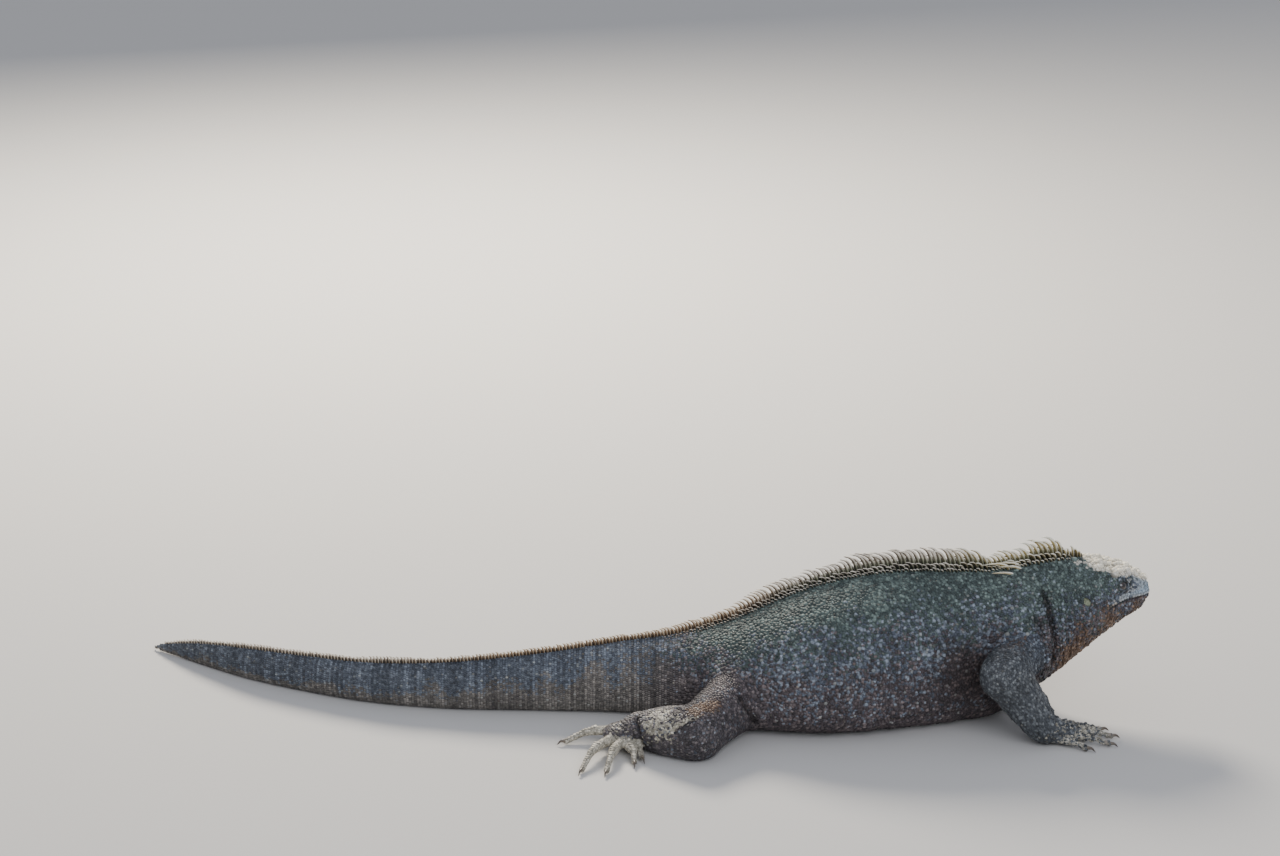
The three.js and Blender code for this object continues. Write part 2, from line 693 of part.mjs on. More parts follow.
["right", "left"].forEach((side, i) => {
  addNode("eye_" + side, eyeBall(bothSides(EYE.angle)[i], EYE.radius, 14, 9), IRIS);
});

for (const [place, leg] of Object.entries(LEGS)) {
  const [root, middle, end, knuckles] = leg.joints;
  const away = (a, b, c) => b.clone().sub(a).normalize().add(c.clone().sub(b).normalize()).normalize();
  const bend = away(root, middle, end);
  const wrist = away(middle, end, knuckles);
  const limb = bentLimb(root, middle, end, leg.radii, leg.swell);
  const curves = leg.toes.map(
    (toe) => new THREE.CatmullRomCurve3([end.clone().lerp(toe[0], 0.5), ...toe]),
  );
  const toes = curves.map((curve) => sweep(curve, toeRadiusAt(leg.toeRadius), 7, 5, 1));
  const back = end.clone().addScaledVector(knuckles.clone().sub(end).normalize(), -leg.radii[2]);
  const front = knuckles.clone().addScaledVector(knuckles.clone().sub(end).normalize(), leg.palm * 0.4);
  const palmPath = new THREE.CatmullRomCurve3([back, end, knuckles, front]);
  const palmRadius = (t) => THREE.MathUtils.lerp(leg.radii[2], leg.palm, t) * (t > 0.99 ? 0.6 : 1);
  const palm = past(sweep(palmPath, palmRadius, LIMB_SIDES, 5, PALM_FLAT), end, wrist, GAP / 2);
  const legOnly = past(limb, end, wrist.clone().negate(), GAP / 2);
  const parts = [
    past(legOnly, middle, bend.clone().negate(), GAP / 2),
    past(legOnly, middle, bend, GAP / 2),
    union([palm, ...toes]).subtract(past(limb, end, wrist.clone().negate(), -GAP / 2)),
  ];
  parts.forEach((made, i) => {
    addNode(leg.names[i] + "_" + place, largest(aboveFloor(made.subtract(trunkZone))), SKIN);
  });
  curves.forEach((curve, i) => {
    addNode("claw_" + place + "_" + (i + 1), clawOn(curve, leg.toes[i][2], leg.claw), CLAW);
  });
}

export default group;
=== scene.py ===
"""The looks of a life-size adult male marine iguana, resting on its belly on a pale studio floor."""
import math

import bmesh
import bpy
import numpy as np
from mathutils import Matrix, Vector, kdtree


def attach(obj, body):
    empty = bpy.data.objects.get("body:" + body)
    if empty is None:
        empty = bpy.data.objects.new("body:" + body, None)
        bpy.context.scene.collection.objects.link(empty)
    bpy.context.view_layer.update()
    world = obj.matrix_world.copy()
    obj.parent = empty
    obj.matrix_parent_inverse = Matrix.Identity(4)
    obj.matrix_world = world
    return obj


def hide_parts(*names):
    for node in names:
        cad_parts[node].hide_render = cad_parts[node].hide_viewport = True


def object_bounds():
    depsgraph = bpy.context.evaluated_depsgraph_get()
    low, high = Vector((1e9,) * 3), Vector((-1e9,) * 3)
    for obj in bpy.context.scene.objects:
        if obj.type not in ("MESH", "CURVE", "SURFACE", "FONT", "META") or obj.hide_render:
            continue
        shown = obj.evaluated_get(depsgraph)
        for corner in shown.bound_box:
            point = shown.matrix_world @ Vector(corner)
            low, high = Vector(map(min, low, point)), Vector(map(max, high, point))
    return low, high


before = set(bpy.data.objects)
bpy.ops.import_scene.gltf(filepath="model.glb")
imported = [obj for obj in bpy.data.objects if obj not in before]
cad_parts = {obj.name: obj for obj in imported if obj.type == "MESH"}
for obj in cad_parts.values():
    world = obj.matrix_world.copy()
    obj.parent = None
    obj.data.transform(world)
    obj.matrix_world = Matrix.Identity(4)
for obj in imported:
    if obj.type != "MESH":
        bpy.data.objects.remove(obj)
cad_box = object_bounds()

# Shapes are worked out in millimetres, in the frame of the solids, and turned into metres as a mesh
# is made.
MM = 0.001
COAT_DEPTH = 0.8  # how deep the skin lies under the outline of the solids
FLOOR_ROOM = 0.8  # how far the skin's flats stay above the floor, for the scales under them
CELL = 3.25  # the size of the faces of the skin, before the head and feet are made finer

# The trunk from the tip of the tail to the snout: the place on the floor (x, y), the half width, the
# levels of the top, the underside and the greatest width, and how square the section is above and
# below that level, where 2 is an ellipse.
TRUNK = [
    (-794, 165, 1.8, 6, 0.5, 3, 2.0, 2.0),
    (-734, 121, 4.6, 25.5, -0.4, 10, 1.9, 2.2),
    (-672, 79, 7.2, 37, -0.6, 14, 1.9, 2.2),
    (-606, 46, 9.8, 42.5, -0.8, 17, 1.9, 2.2),
    (-528, 16, 12.8, 47, -1.0, 20, 1.9, 2.2),
    (-442, 1, 16.5, 54, -1.2, 24, 1.9, 2.3),
    (-342, 0, 23, 65, -1.5, 28, 1.9, 2.4),
    (-250, 0, 33, 80, -2.0, 34, 1.9, 2.4),
    (-186, 0, 50, 90, -2.0, 38, 1.9, 2.5),
    (-122, 0, 83, 112, -3.0, 44, 1.85, 2.8),
    (-64, 0, 101, 139, -4.0, 54, 1.85, 3.2),
    (-4, 0, 101, 157, -4.0, 60, 1.85, 3.3),
    (56, 0, 91, 165, -4.0, 66, 1.85, 3.0),
    (112, 0, 75, 165, -3.0, 72, 1.85, 2.8),
    (152, 0, 65, 166, 0.0, 80, 1.85, 2.5),
    (182, 0, 58, 171, 12, 92, 1.9, 2.2),
    (210, 1, 51, 176, 37, 106, 1.95, 2.1),
    (236, 5.5, 45, 177, 61, 114, 2.1, 2.2),
    (262, 13, 39.5, 171, 81, 126, 2.3, 2.2),
    (286, 21, 32.5, 162, 96, 131, 2.5, 2.3),
    (306, 28.5, 27, 154, 105, 132, 2.6, 2.4),
    (323, 35, 21.5, 145, 109, 129.5, 2.4, 2.4),
]
NOSE_DOME = 15  # how far back the rounding of the snout reaches
TIP_DOME = 8  # and that of the tail's tip
BLUNT = 2.6  # how blunt both are, where 2 is round
CHIN_SLOPE = 0.3  # how far the lower jaw falls back behind the upper for its depth
CHIN_LENGTH = 40
NECK_FROM = 196  # x where the torso's scales change to those of the neck
HEAD_FROM = 231  # x where the head begins
TAIL_TO = -186  # x where the tail begins

# The crest over the spine: x, height of the spines, backward lean for each unit of height, half
# length and half thickness of a root, and the spacing from one root to the next.
CREST = [
    (-778, 2.2, 0.5, 1.2, 0.6, 3.6),
    (-700, 4.5, 0.5, 1.44, 0.75, 3.8),
    (-560, 5.5, 0.45, 1.6, 0.85, 3.9),
    (-420, 5.5, 0.45, 1.6, 0.85, 3.9),
    (-250, 6.2, 0.6, 1.68, 0.95, 3.9),
    (-170, 7.8, 0.75, 1.76, 1.0, 4.0),
    (-110, 11, 0.85, 1.92, 1.1, 4.3),
    (-40, 15.5, 0.85, 2.08, 1.2, 4.6),
    (30, 19.5, 0.8, 2.24, 1.3, 4.8),
    (90, 23, 0.65, 2.32, 1.35, 4.9),
    (138, 23, 0.65, 2.32, 1.35, 4.9),
    (152, 11, 0.8, 2, 1.2, 4.8),
    (160, 14, 0.9, 2.08, 1.2, 4.8),
    (174, 19, 0.9, 2.24, 1.3, 4.9),
    (182, 15, 0.9, 2.24, 1.3, 4.9),
    (192, 22, 0.75, 2.4, 1.4, 5.0),
    (212, 25, 0.65, 2.48, 1.45, 5.0),
    (224, 22, 0.55, 2.4, 1.35, 5.0),
    (231, 8, 0.5, 1.6, 1.0, 4.2),
    (238, 12, 0.5, 1.7, 1.0, 4.2),
    (248, 5, 0.4, 1.5, 1.0, 4.0),
]

# Rows of small spines at the foot of the crest: how far out, and their share of its height.
FOOT_ROWS = [(4.6, 0.34), (8.6, 0.15)]
FOOT_FROM, FOOT_TO = -205.0, 236  # x of their ends

# Spines of the shoulder that lie over on the right side: the place of the root, and the turn.
FALLEN = [(182, -11, 165, 0.9), (180, -7, 168, 0.5), (175, -17, 160, 1.2), (168, -9, 167, 0.7)]

# Features of the head: x and the angle round the section, where 0 is the widest level and 90 the
# crown, the same on both sides.
EYE = dict(x=283, angle=27, radius=7.4, depth=5.2)
EAR = dict(x=241, angle=20)
NOSTRIL = dict(x=309, angle=41)
FORMS = [  # x, angle, reach forwards, reach upwards, height
    (254, -12, 30, 27, 5.5),  # jowl
    (281, 50, 19, 8, 3.6),  # brow
    (284, 8, 17, 9, -2.2),  # hollow under the eye
    (266, 34, 13, 9, -1.6),  # hollow behind the eye
    (308, 38, 9, 8, 2.2),  # mound of the nostril
    (303, 8, 18, 8, 1.6),  # muzzle over the lip
    (296, -30, 24, 9, 1.2),  # lower jaw
]
MOUTH = [(261, 123.5), (268, 127), (286, 130.5), (306, 131), (323, 129.5)]  # x of the section, level

CONES = [  # x from and to, angle of the lowest, step, radius, height
    (238, 262, 60, 5.4, 2.8, 2.4),  # back of the crown
    (264, 300, 50, 6.6, 3.7, 4.4),  # crown
    (303, 321, 36, 5.6, 3.1, 3.2),  # snout
]
JOWL = [  # x, angle, size
    (252, -14, 6.2), (246, -26, 5.6), (258, -27, 5.0), (240, -10, 4.6), (263, -15, 4.4), (249, -2, 4.4),
    (238, -22, 4.6), (252, -38, 4.4),
]

# Each leg: the joints from root to knuckles, the radii at root, bend and end, and the toes from the
# first to the fifth, each with its root, its middle knuckle and its tip on the floor.
LEGS = {
    "front_right": dict(
        joints=[(196, -12, 92), (159, -93, 78), (201, -95, 19), (226, -90, 12)],
        radii=(25, 26, 17.5), swell=2, palm=15, toe=6.0,
        toes=[
            [(216, -77, 10), (230, -64, 9.5), (243, -58, 4)],
            [(228, -82, 10), (248, -74, 10), (266, -69, 4)],
            [(231, -90, 10), (254, -87, 10), (275, -86, 4)],
            [(228, -97, 10), (250, -101, 9.5), (270, -106, 4)],
            [(216, -101, 9), (232, -110, 8.5), (245, -117, 4)],
        ],
    ),
    "front_left": dict(
        joints=[(194, 14, 92), (140, 80, 78), (172, 102, 19), (190, 112, 12)],
        radii=(25, 26, 17.5), swell=2, palm=15, toe=6.0,
        toes=[
            [(185, 97, 9), (199, 91, 8.5), (211, 87, 4)],
            [(195, 106, 9), (213, 106, 9), (230, 107, 4)],
            [(196, 114, 9), (214, 121, 9.5), (231, 129, 4)],
            [(190, 121, 9), (204, 134, 9), (216, 146, 4)],
            [(179, 122, 9), (186, 136, 8), (191, 149, 4)],
        ],
    ),
    "hind_right": dict(
        joints=[(-97, -21, 47), (-172, -129, 27), (-231, -102, 20), (-256, -101, 14)],
        radii=(39, 27.5, 19), swell=4, palm=16.5, toe=6.4,
        toes=[
            [(-236, -118, 9), (-233, -130, 11), (-230, -141, 5)],
            [(-244, -122, 10), (-239, -138, 11), (-238, -152, 4.5)],
            [(-254, -122, 11), (-262, -150, 12), (-267, -174, 4)],
            [(-264, -114, 12), (-282, -142, 13), (-293, -171, 4)],
            [(-262, -93, 14), (-287, -91, 12), (-311, -99, 4)],
        ],
    ),
    "hind_left": dict(
        joints=[(-134, 24, 47), (-74, 112, 28), (-132, 130, 20), (-152, 142, 14)],
        radii=(39, 27.5, 19), swell=4, palm=16.5, toe=6.4,
        toes=[
            [(-148, 128, 9), (-162, 122, 10), (-174, 119, 4)],
            [(-158, 138, 10), (-178, 138, 11), (-193, 139, 4)],
            [(-160, 147, 10), (-181, 155, 12), (-203, 164, 4)],
            [(-155, 155, 11), (-172, 174, 13), (-189, 194, 4)],
            [(-140, 152, 11), (-139, 172, 11), (-136, 190, 4)],
        ],
    ),
}
CLAW_LENGTH = 11
PALM_FLAT = 0.7  # the height of a palm over its width

# Folds and creases of the skin: the points of each, its depth and its half width.
CREASES = [
    ([(199, -30, 160), (204, -40, 147), (209, -47, 130), (213, -49.5, 112), (216, -48, 94),
      (215, -44, 80), (212, -38, 68)], 4.4, 3.2),  # in front of the shoulder, right
    ([(190, -50, 132), (195, -51.5, 122), (200, -53, 104), (203, -52, 92)], 2.6, 2.6),  # behind it
    ([(199, 32, 160), (205, 42, 147), (210, 50, 130), (212, 52, 112), (214, 50, 94),
      (213, 44, 80), (210, 38, 68)], 4.4, 3.2),  # the same on the left
    ([(228, -33, 88), (226, -20, 70), (225, 2, 62), (226, 24, 70), (228, 38, 88)], 1.6, 3.2),  # throat
    ([(-198, -146, 35), (-190, -146, 41), (-180, -145.5, 46.5), (-171, -142, 50)], 2.6, 1.8),  # knee
    ([(-195, -118, 55), (-191, -125, 52), (-188, -132, 49)], 3.0, 2.4),  # inside of the knee
    ([(-232, -104, 39), (-235, -118, 35), (-232, -126, 24), (-226, -125, 12)], 3.2, 2.2),  # ankle
    ([(218, -110, 10), (213, -108, 24), (211, -96, 33), (212, -84, 28)], 1.2, 2.4),  # wrist
    ([(-128, -98, 62), (-120, -103, 48), (-112, -96, 30), (-108, -88, 14)], 3.0, 4.0),  # groin
    ([(150, -62, 24), (112, -76, 20), (66, -90, 19), (14, -99, 19)], 1.8, 3.2),  # along the belly
    ([(140, 62, 24), (104, 77, 20), (60, 91, 19), (10, 99, 19)], 1.8, 3.2),  # the same on the left
]

# Places with markings of their own.
KNEE = 4  # the row of CREASES whose fold has a painted highlight along its edge
HAUNCH = [(-174, -132, 55), (-152, -122, 62)]  # the top of the right thigh, which is rusty
SHANK = (-212, -134, 40)  # the middle of the pale speckles on the right shank
ARMPIT = (122, 66)  # x and level of the middle of the patch of painted shade and rust behind the right foreleg


# Numbers


def vec(*values):
    return np.array(values, float)


def mix(a, b, share):
    return a + (b - a) * share


def smooth(value, low, high):
    """0 below low, 1 above high, and a smooth rise between them."""
    share = np.clip((np.asarray(value, float) - low) / (high - low), 0, 1)
    return share * share * (3 - 2 * share)


def bump(value, middle, reach):
    """1 at the middle, falling smoothly to 0 at the reach on either side."""
    return np.maximum(0, 1 - ((np.asarray(value, float) - middle) / reach) ** 2) ** 2


def joined(a, b, width):
    """The distance to two shapes joined with a fillet about as wide as width."""
    near = np.maximum(width - np.abs(a - b), 0) / np.maximum(width, 1e-6)
    return np.minimum(a, b) - near * near * width / 4


def cut(a, b, width):
    """The distance to what both shapes share, with a rounded edge."""
    return -joined(-a, -b, width)


def unit(vectors):
    return vectors / np.maximum(np.linalg.norm(vectors, axis=-1, keepdims=True), 1e-9)


def along_line(points):
    """How far along a line of points each of them is."""
    return np.concatenate([[0], np.cumsum(np.linalg.norm(np.diff(points, axis=0), axis=1))])


class Waves:
    """A smooth random field: a sum of plane waves in seeded directions, mostly between -1 and 1."""

    def __init__(self, seed, length, count=14):
        rng = np.random.default_rng(seed)
        self.steps = unit(rng.normal(size=(count, 3))) * (2 * math.pi / length)
        self.steps *= rng.uniform(0.6, 1.6, (count, 1))
        self.phases = rng.uniform(0, 2 * math.pi, count)

    def at(self, points):
        return np.sin(points @ self.steps.T + self.phases).sum(-1) / math.sqrt(len(self.phases) / 2) / 1.6


class Table:
    """Smooth values between the rows of a table whose first column is the distance along it."""

    def __init__(self, rows):
        rows = np.array(rows, float)
        self.places, self.values = rows[:, 0], rows[:, 1:]
        secants = np.diff(self.values, axis=0) / np.diff(self.places)[:, None]
        between = (secants[1:] + secants[:-1]) / 2
        self.slopes = np.vstack([secants[:1], between, secants[-1:]])

    def at(self, place):
        place = np.clip(place, self.places[0], self.places[-1])
        row = np.clip(np.searchsorted(self.places, place, side="right") - 1, 0, len(self.places) - 2)
        width = (self.places[row + 1] - self.places[row])[..., None]
        p = (place - self.places[row])[..., None] / width
        start, end = self.values[row], self.values[row + 1]
        rise, fall = self.slopes[row] * width, self.slopes[row + 1] * width
        return (
            (2 * p**3 - 3 * p**2 + 1) * start
            + (p**3 - 2 * p**2 + p) * rise
            + (3 * p**2 - 2 * p**3) * end
            + (p**3 - p**2) * fall
        )


# The trunk


class Track:
    """The trunk's middle line and sections, read off at any distance along it."""

    STEP = 0.5
    BEYOND = 60  # how far the line is carried on straight past both ends

    def __init__(self):
        rows = np.array(TRUNK, float)
        gaps = np.hypot(np.diff(rows[:, 0]), np.diff(rows[:, 1]))
        distances = np.concatenate([[0], np.cumsum(gaps)])
        table = Table(np.column_stack([distances, rows]))
        self.end = distances[-1]
        self.s = np.arange(0, self.end + self.STEP / 2, self.STEP)
        values = table.at(self.s)
        ahead = table.at(np.minimum(self.s + 1, self.end))
        behind = table.at(np.maximum(self.s - 1, 0))
        forward = unit((ahead - behind)[:, :2])
        self.names = ["x", "y", "half", "top", "bottom", "widest", "roof", "keel", "fx", "fy"]
        columns = np.column_stack([values, forward])
        first, last = columns[0].copy(), columns[-1].copy()
        first[:2] -= first[8:10] * self.BEYOND
        last[:2] += last[8:10] * self.BEYOND
        self.s = np.concatenate([[-self.BEYOND], self.s, [self.end + self.BEYOND]])
        self.columns = np.vstack([first, columns, last])
        self.by_name = {name: self.columns[:, i] for i, name in enumerate(self.names)}

    def read(self, distance, *names):
        return [np.interp(distance, self.s, self.by_name[name]) for name in names]

    def at_x(self, x):
        """The distance along the trunk at which it passes x."""
        return np.interp(x, self.by_name["x"], self.s)

    def locate(self, points):
        """Distance along the trunk, offset to the right, height over the widest level."""
        distance = self.at_x(points[:, 0])
        for _ in range(3):
            x, y, fx, fy = self.read(distance, "x", "y", "fx", "fy")
            distance = distance + (points[:, 0] - x) * fx + (points[:, 1] - y) * fy
        plain = distance
        for _ in range(2):
            (widest,) = self.read(distance, "widest")
            slope = CHIN_SLOPE * smooth(distance, self.end - CHIN_LENGTH, self.end)
            distance = plain + np.maximum(widest - points[:, 2], 0) * slope
        x, y, fx, fy, widest = self.read(plain, "x", "y", "fx", "fy", "widest")
        right = (points[:, 0] - x) * fy - (points[:, 1] - y) * fx
        return distance, right, points[:, 2] - widest


track = Track()


def section_ratio(distance, right, above):
    """How far out a place lies in its section, where 1 is the surface, and its offset in the end domes."""
    half, top, bottom, widest, roof, keel = track.read(
        distance, "half", "top", "bottom", "widest", "roof", "keel"
    )
    over = above > 0
    reach = np.where(over, top - widest, widest - bottom)
    power = np.where(over, roof, keel)
    ratio = (np.abs(right / half) ** power + np.abs(above / reach) ** power) ** (1 / power)
    nose = np.maximum(0, (distance - track.end + NOSE_DOME) / NOSE_DOME)
    tip = np.maximum(0, (TIP_DOME - distance) / TIP_DOME)
    dome = np.maximum(nose, tip)
    offset = nose * NOSE_DOME + tip * TIP_DOME
    return (ratio**BLUNT + dome**BLUNT) ** (1 / BLUNT), offset


def trunk_distance(points, place=None):
    distance, right, above = place or track.locate(points)
    ratio, offset = section_ratio(distance, right, above)
    reach = np.sqrt(right**2 + above**2 + offset**2)
    return reach - reach / np.maximum(ratio, 1e-3)


def trunk_point(distance, angle):
    """Points of the plain trunk, where angle 0 is its right side and a quarter turn is its top."""
    distance, angle = np.broadcast_arrays(np.asarray(distance, float), np.asarray(angle, float))
    x, y, half, top, bottom, widest, roof, keel, fx, fy = track.read(distance, *track.names)
    nose = np.clip((track.end - distance) / NOSE_DOME, 0, 1)
    tip = np.clip(distance / TIP_DOME, 0, 1)
    shrink = (1 - (1 - np.minimum(nose, tip)) ** BLUNT) ** (1 / BLUNT)
    across, upward = np.cos(angle), np.sin(angle)
    over = upward > 0
    power = 2 / np.where(over, roof, keel)
    reach = np.where(over, top - widest, widest - bottom) * shrink
    side = half * shrink * np.sign(across) * np.abs(across) ** power
    level = reach * np.sign(upward) * np.abs(upward) ** power
    slope = CHIN_SLOPE * smooth(distance, track.end - CHIN_LENGTH, track.end)
    back = np.minimum(level, 0) * slope
    return np.stack([x + side * fy + back * fx, y - side * fx + back * fy, widest + level], axis=-1)


def on_head(x, degrees):
    """A place on the plain trunk, with its outward, forward and upward directions."""
    distance, angle = track.at_x(x), math.radians(degrees)
    place = trunk_point(distance, angle)
    ahead = unit(place - trunk_point(distance - 0.5, angle))
    round_ = trunk_point(distance, angle + 0.02) - place
    out = unit(np.cross(ahead, round_))
    return place, out, ahead, unit(np.cross(out, ahead))


def both_sides(degrees):
    return (degrees, 180 - degrees)


class Feature:
    """The frame of an eye, ear or nostril on one side of the head."""

    def __init__(self, x, angle, side=""):
        self.side = side
        self.place, self.out, self.ahead, self.over = on_head(x, angle)
        if self.over[2] < 0:
            self.over = -self.over

    def local(self, points):
        offset = points - self.place
        return offset @ self.ahead, offset @ self.over, offset @ self.out

    def spans(self, points, size, deep, lean=0.0):
        """How far off places are, where 1 is the edge of an oval of this size, and whether they lie no
        deeper than its side of the head."""
        ahead, over, out = self.local(points)
        return np.hypot((ahead + lean * over) / size[0], over / size[1]), np.abs(out) < deep


eyes = [
    Feature(EYE["x"], angle, side)
    for side, angle in zip(("right", "left"), both_sides(EYE["angle"]))
]
ears = [Feature(EAR["x"], angle) for angle in both_sides(EAR["angle"])]
nostrils = [Feature(NOSTRIL["x"], angle) for angle in both_sides(NOSTRIL["angle"])]
form_places = [
    (on_head(x, side)[0], along, upward, height)
    for x, angle, along, upward, height in FORMS
    for side in both_sides(angle)
]
mouth = Table(MOUTH)


# The head

LID_RADIUS = 8.5
LID_LENGTH = 1.22  # the length of the lids over their height
LID_FOLD = 1.9  # the width of a ring of folded skin round the opening
OPENING = (5.8, 3.9)  # half length and half height of the opening between the lids
BEND, SLANT = 0.02, 0.06  # how the opening bends down to both corners, and how it slants
LIP_SWELL = 0.8
LIP_MIDDLE = 2.4  # how far from the line of the mouth the lips are fullest
LIP_WIDTH = 1.7
MOUTH_DEPTH = 2.4
MOUTH_WIDTH = 0.65
EAR_SIZE = (4.4, 5.6)
EAR_LEAN = 0.25
EAR_DEEP = 9  # how far in or out of the plain head what belongs to an ear reaches
EAR_DEPTH, EAR_RIM = 2.0, 0.5  # how far the drum is sunk, and the swelling round it
NOSTRIL_SIZE = (1, 1)  # so that places round a nostril are told in millimetres
NOSTRIL_DEEP = 7
EYE_DEEP, LIDS_DEEP = 9, 14
NOSTRIL_DEPTH, NOSTRIL_RIM = 3.4, 1.1


def forms_of_head(points, distance):
    """How far the jowls, brows and hollows stand out of the plain trunk."""
    fx, fy = track.read(distance, "fx", "fy")
    total = np.zeros(len(points))
    for centre, along, upward, height in form_places:
        offset = points - centre
        forwards = offset[:, 0] * fx + offset[:, 1] * fy
        sideways = offset[:, 0] * fy - offset[:, 1] * fx
        near = 1 - (forwards / along) ** 2 - (sideways / along) ** 2 - (offset[:, 2] / upward) ** 2
        total += height * np.maximum(0, near) ** 2
    return total


def mouth_offset(points, distance):
    """Height over the line of the mouth, and how fully the mouth is parted there."""
    (x,) = track.read(distance, "x")
    (level,) = mouth.at(x).T
    return points[:, 2] - level, smooth(x, MOUTH[0][0], MOUTH[0][0] + 7)


def head_detail(points, field, distance):
    """The head's field with lips, lids, ears and nostrils."""
    off, parted = mouth_offset(points, distance)
    tip = smooth(track.end - distance, -1, 5)
    field = field - LIP_SWELL * parted * tip * np.exp(-(((np.abs(off) - LIP_MIDDLE) / LIP_WIDTH) ** 2))
    field = field + MOUTH_DEPTH * parted * np.exp(-((off / MOUTH_WIDTH) ** 2))
    for eye in eyes:
        ahead, over, out = eye.local(points)
        out = out + EYE["depth"]
        ball = np.sqrt(ahead**2 + over**2 + out**2)
        lids = np.sqrt((ahead / LID_LENGTH) ** 2 + over**2 + out**2) - LID_RADIUS
        field = joined(field, lids, 3.0)
        slit = np.hypot(ahead / OPENING[0], (over + BEND * ahead**2 - SLANT * ahead) / OPENING[1])
        rim = (slit - 1) * OPENING[1]
        rings = np.cos(rim * 2 * math.pi / LID_FOLD) * bump(rim, 2.6, 4.2)
        field = field - 0.22 * rings * (out > 0)
        hole = cut(-rim, EYE["radius"] - 0.6 - ball, 0.5)
        opened = np.where(out > 0, hole, -9)
        field = cut(field, opened, 1.0)
    for ear in ears:
        size, near = ear.spans(points, EAR_SIZE, EAR_DEEP, EAR_LEAN)
        field = field + np.where(near, EAR_DEPTH * (1 - smooth(size, 0.62, 1.05)), 0)
        field = field - np.where(near, EAR_RIM * bump(size, 1.18, 0.34), 0)
    for nostril in nostrils:
        size, near = nostril.spans(points, NOSTRIL_SIZE, NOSTRIL_DEEP)
        field = field + np.where(near, NOSTRIL_DEPTH * (1 - smooth(size, 1.3, 2.6)), 0)
        field = field - np.where(near, NOSTRIL_RIM * bump(size, 3.5, 1.9), 0)
    return field


# Legs

ELBOW_BLEND = 9  # the fillets of a leg: at its bend, at its palm, at the roots of its toes
PALM_BLEND = 7
TOE_BLEND = 3.5
KNUCKLE_BLEND = 1.5  # between two lengths of a toe
WEB_BLEND = 1.2  # between two toes
ROOT_BLEND = 22  # where an upper arm or thigh leaves the trunk
SIDE_BLEND = 1.5  # where the rest of a leg lies against it
NOWHERE = 1e3  # a distance for places that are far from a shape


def inside_box(points, low, high):
    return np.nonzero(((points > low) & (points < high)).all(1))[0]


def bone(points, start, end, first, last, swell=0.0):
    """The distance to a round length of limb, and the share of the way along it."""
    along = end - start
    share = np.clip((points - start) @ along / (along @ along), 0, 1)
    offset = points - start - share[:, None] * along
    radius = mix(first, last, share) + swell * np.sin(math.pi * share)
    return np.sqrt((offset * offset).sum(1)) - radius, share


def toe_line(leg, toe):
    """The points along a toe's middle, from inside the palm to its tip, and the radius at each."""
    joint = vec(*leg["joints"][2])
    roots = [vec(*place) for place in toe]
    knots = [mix(joint, roots[0], 0.5), *roots]
    lengths = np.cumsum([0] + [np.linalg.norm(b - a) for a, b in zip(knots, knots[1:])])
    table = Table(np.column_stack([lengths, np.array(knots)]))
    shares = np.linspace(0, 1, 7)
    radii = leg["toe"] * (1.14 - 0.66 * shares + 0.07 * np.cos(shares * 4 * math.pi))
    return table.at(shares * lengths[-1]), radii


def leg_distance(points, leg):
    """The distance to a whole leg, and how close a place is to its root."""
    root, bend, end, knuckles = [vec(*joint) for joint in leg["joints"]]
    first, middle, last = leg["radii"]
    upper, up_share = bone(points, root, bend, first, middle)
    lower, _ = bone(points, bend, end, middle, last, leg["swell"])
    field = joined(upper, lower, ELBOW_BLEND)
    squash = vec(1, 1, 1 / PALM_FLAT)
    palm, _ = bone(points * squash, end * squash, knuckles * squash, last, leg["palm"])
    field = joined(field, palm * 0.85, PALM_BLEND)
    toes = np.full(len(points), NOWHERE)
    for line, radii in leg["lines"]:
        near = inside_box(points, line.min(0) - 16, line.max(0) + 16)
        some = points[near]
        one = np.full(len(some), NOWHERE)
        for a, b, ra, rb in zip(line[:-1], line[1:], radii[:-1], radii[1:]):
            part, _ = bone(some, a, b, ra, rb)
            one = joined(one, part, KNUCKLE_BLEND)
        toes[near] = joined(toes[near], one, WEB_BLEND)
    field = joined(field, toes, TOE_BLEND)
    near_root = np.where(upper < lower, 1 - up_share, 0)
    return field, near_root


for leg in LEGS.values():
    leg["lines"] = [toe_line(leg, toe) for toe in leg["toes"]]
    places = np.vstack([leg["joints"]] + [line for line, _ in leg["lines"]])
    leg["box"] = places.min(0) - 48, places.max(0) + 48


# The whole body

LOOSE_SKIN = 0.9  # the height of the long waves in the skin of the flanks
FINE_FOLDS = 0.45  # that of the small ones from the shoulders forwards
STRANDS, STRAND_WIDTH = 0.9, 6.4  # the height and spacing of the wrinkles of the neck
THROAT_FOLDS, THROAT_WIDTH = 0.45, 5.2  # and of those under the throat
FLOOR_EDGE = 1.6  # how round the edge of a flat is where the body lies on the floor

long_folds = Waves(11, 46)
small_folds = Waves(12, 15)
UPRIGHT = vec(1.5, 1, 0.45)  # draws the waves out into upright folds
folds = []  # the folds of CREASES, once their lines are brought onto the skin


def crease_depth(points):
    """How deep the folds of the skin go at each place."""
    total = np.zeros(len(points))
    for line, depth, half in folds:
        low, high = line.min(0) - 4 * half, line.max(0) + 4 * half
        near = inside_box(points, low, high)
        if not len(near):
            continue
        gap = np.full(len(near), NOWHERE)
        share = np.zeros(len(near))
        for i, (a, b) in enumerate(zip(line[:-1], line[1:])):
            one, along = bone(points[near], a, b, 0, 0)
            share = np.where(one < gap, (i + along) / (len(line) - 1), share)
            gap = np.minimum(gap, one)
        fade = smooth(share, -0.01, 0.2) * (1 - smooth(share, 0.84, 1.01))
        groove = np.exp(-((gap / half) ** 2)) - 0.42 * np.exp(-(((gap - 2.1 * half) / (1.1 * half)) ** 2))
        total[near] += depth * fade * groove
    return total


